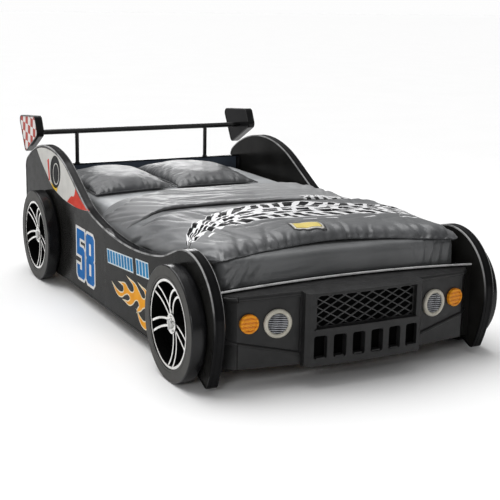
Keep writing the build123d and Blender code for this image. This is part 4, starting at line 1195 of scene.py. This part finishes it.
def seam_places(border, points):
    """Each point's distance in plan from a closed seam line, and its place along the line."""
    steps = np.linalg.norm(np.roll(border, -1, axis=0) - border, axis=1)
    length = np.concatenate([[0], np.cumsum(steps)[:-1]])
    gap = np.linalg.norm(points[:, None, :2] - border[None, :, :2], axis=2)
    return gap.min(axis=1), length[gap.argmin(axis=1)]


def add_piping(name, border, body, look, radius=0.0028, closed=True):
    """Thin corded edge along a seam, or a near-black tube of painted shadow along a hem."""
    sides = 6
    count = len(border)
    ahead = np.gradient(border, axis=0)
    if closed:
        ahead = np.roll(border, -1, axis=0) - np.roll(border, 1, axis=0)
    ahead /= np.linalg.norm(ahead, axis=1)[:, None]
    outward = np.stack([ahead[:, 1], -ahead[:, 0], np.zeros(count)], axis=1)
    vertices, faces = [], []
    for index in range(count):
        after = (index + 1) % count
        for step in range(sides):
            angle = 2 * math.pi * step / sides
            offset = outward[index] * math.cos(angle) + UP * math.sin(angle)
            vertices.append(border[index] + offset * radius)
            turn = (step + 1) % sides
            if closed or after:
                corners = ((index, step), (index, turn), (after, turn), (after, step))
                faces.append([ring * sides + place for ring, place in corners])
    if not closed:
        faces.append(list(range(sides)))
        faces.append([(count - 1) * sides + step for step in reversed(range(sides))])
    piece = new_piece(name, vertices, faces, look, body)


def make_label(duvet):
    """Yellow patch with a pale border, sewn on the duvet near its foot."""
    cover = BVHTree.FromObject(duvet, bpy.context.evaluated_depsgraph_get())
    centre = Vector((-0.080, behind(18), 0))
    turn = Matrix.Rotation(math.radians(-10), 3, "Z")
    half_wide, half_long = 0.064, 0.042
    columns, rows = 19, 17
    for name, inset, lift, look in (
        ("label_edge", 0.0, 0.0010, LABEL_DARK),
        ("label_border", 0.006, 0.0018, LABEL_PALE),
        ("label_field", 0.014, 0.0026, LABEL_YELLOW),
    ):
        grid = np.zeros((rows, columns, 3))
        for c, across in enumerate(np.linspace(inset - half_wide, half_wide - inset, columns)):
            height = UNDER + 0.03
            for r in reversed(range(rows)):
                ahead = (half_long - inset) * (2 * r / (rows - 1) - 1)
                place = centre + turn @ Vector((across, ahead, 0))
                hit = cover.ray_cast(Vector((place.x, place.y, 0.7)), Vector((0, 0, -1)))[0]
                # where the patch reaches past the hem it keeps its last height
                height = hit.z if hit and hit.z > UNDER + 0.012 else height
                grid[r, c] = (place.x, place.y, height)
        # the patch is stiffer than the cloth under it
        for _ in range(3):
            inside = (grid[2:, 1:-1, 2] + grid[:-2, 1:-1, 2] + grid[1:-1, 2:, 2] + grid[1:-1, :-2, 2]) / 4
            grid[1:-1, 1:-1, 2] = np.maximum(grid[1:-1, 1:-1, 2], inside)
        piece = new_slab(name, grid + UP * lift, grid + UP * (lift - LABEL_THICKNESS), look, "duvet")


# ------------------------------------------------------------ the scene

scene.view_settings.view_transform = "Standard"
make_camera()
make_studio()
dress_cad_nodes()

PRINTS = {name: print_film("print_" + name, *shades) for name, shades in PRINT_SHADES.items()}
for panel_side in SIDES:
    make_number(panel_side)
    make_dashes(panel_side)
    make_flames(panel_side)
    make_fin_print(panel_side)

SHEET_GREY = ((0.085, 0.088, 0.09), (0.11, 0.113, 0.116))
PILLOW_GREY = ((0.040, 0.042, 0.045), (0.054, 0.056, 0.060))
# painted light: the sheet's top strip near the head is painted much brighter than its shaded front face
SHEET_SATIN = satin_with_painted_light("sheet_satin", *SHEET_GREY, behind(820), behind(960), 4.4)
DUVET_SATIN = duvet_satin()
FOLD_SATIN = fold_satin()
# painted shadow: near-black satin for the tube under the turned-down part's front hem
HEM_SHADOW = satin("painted_hem_shadow", (0.006, 0.006, 0.0065), (0.010, 0.010, 0.011))
# painted light: the pillows are painted darker at their shaded fronts and brighter towards their lit ridges
PILLOW_SATIN = satin_with_painted_light("pillow_satin", *PILLOW_GREY, behind(1180), behind(1560), 1.35)
LABEL_DARK = satin("label_dark", (0.04, 0.04, 0.042), (0.06, 0.06, 0.062))
LABEL_PALE = satin("label_pale", (0.68, 0.66, 0.6), (0.8, 0.78, 0.72))
LABEL_YELLOW = satin("label_yellow", (0.74, 0.58, 0.12), (0.82, 0.68, 0.2))

mattress = make_mattress()
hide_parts("mattress")

duvet = make_duvet()
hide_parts("duvet")
make_label(duvet)

turned_down = make_duvet_fold()

for pillow_side in SIDES:
    pillow = make_pillow(pillow_side)
    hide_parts("pillow_" + pillow_side)
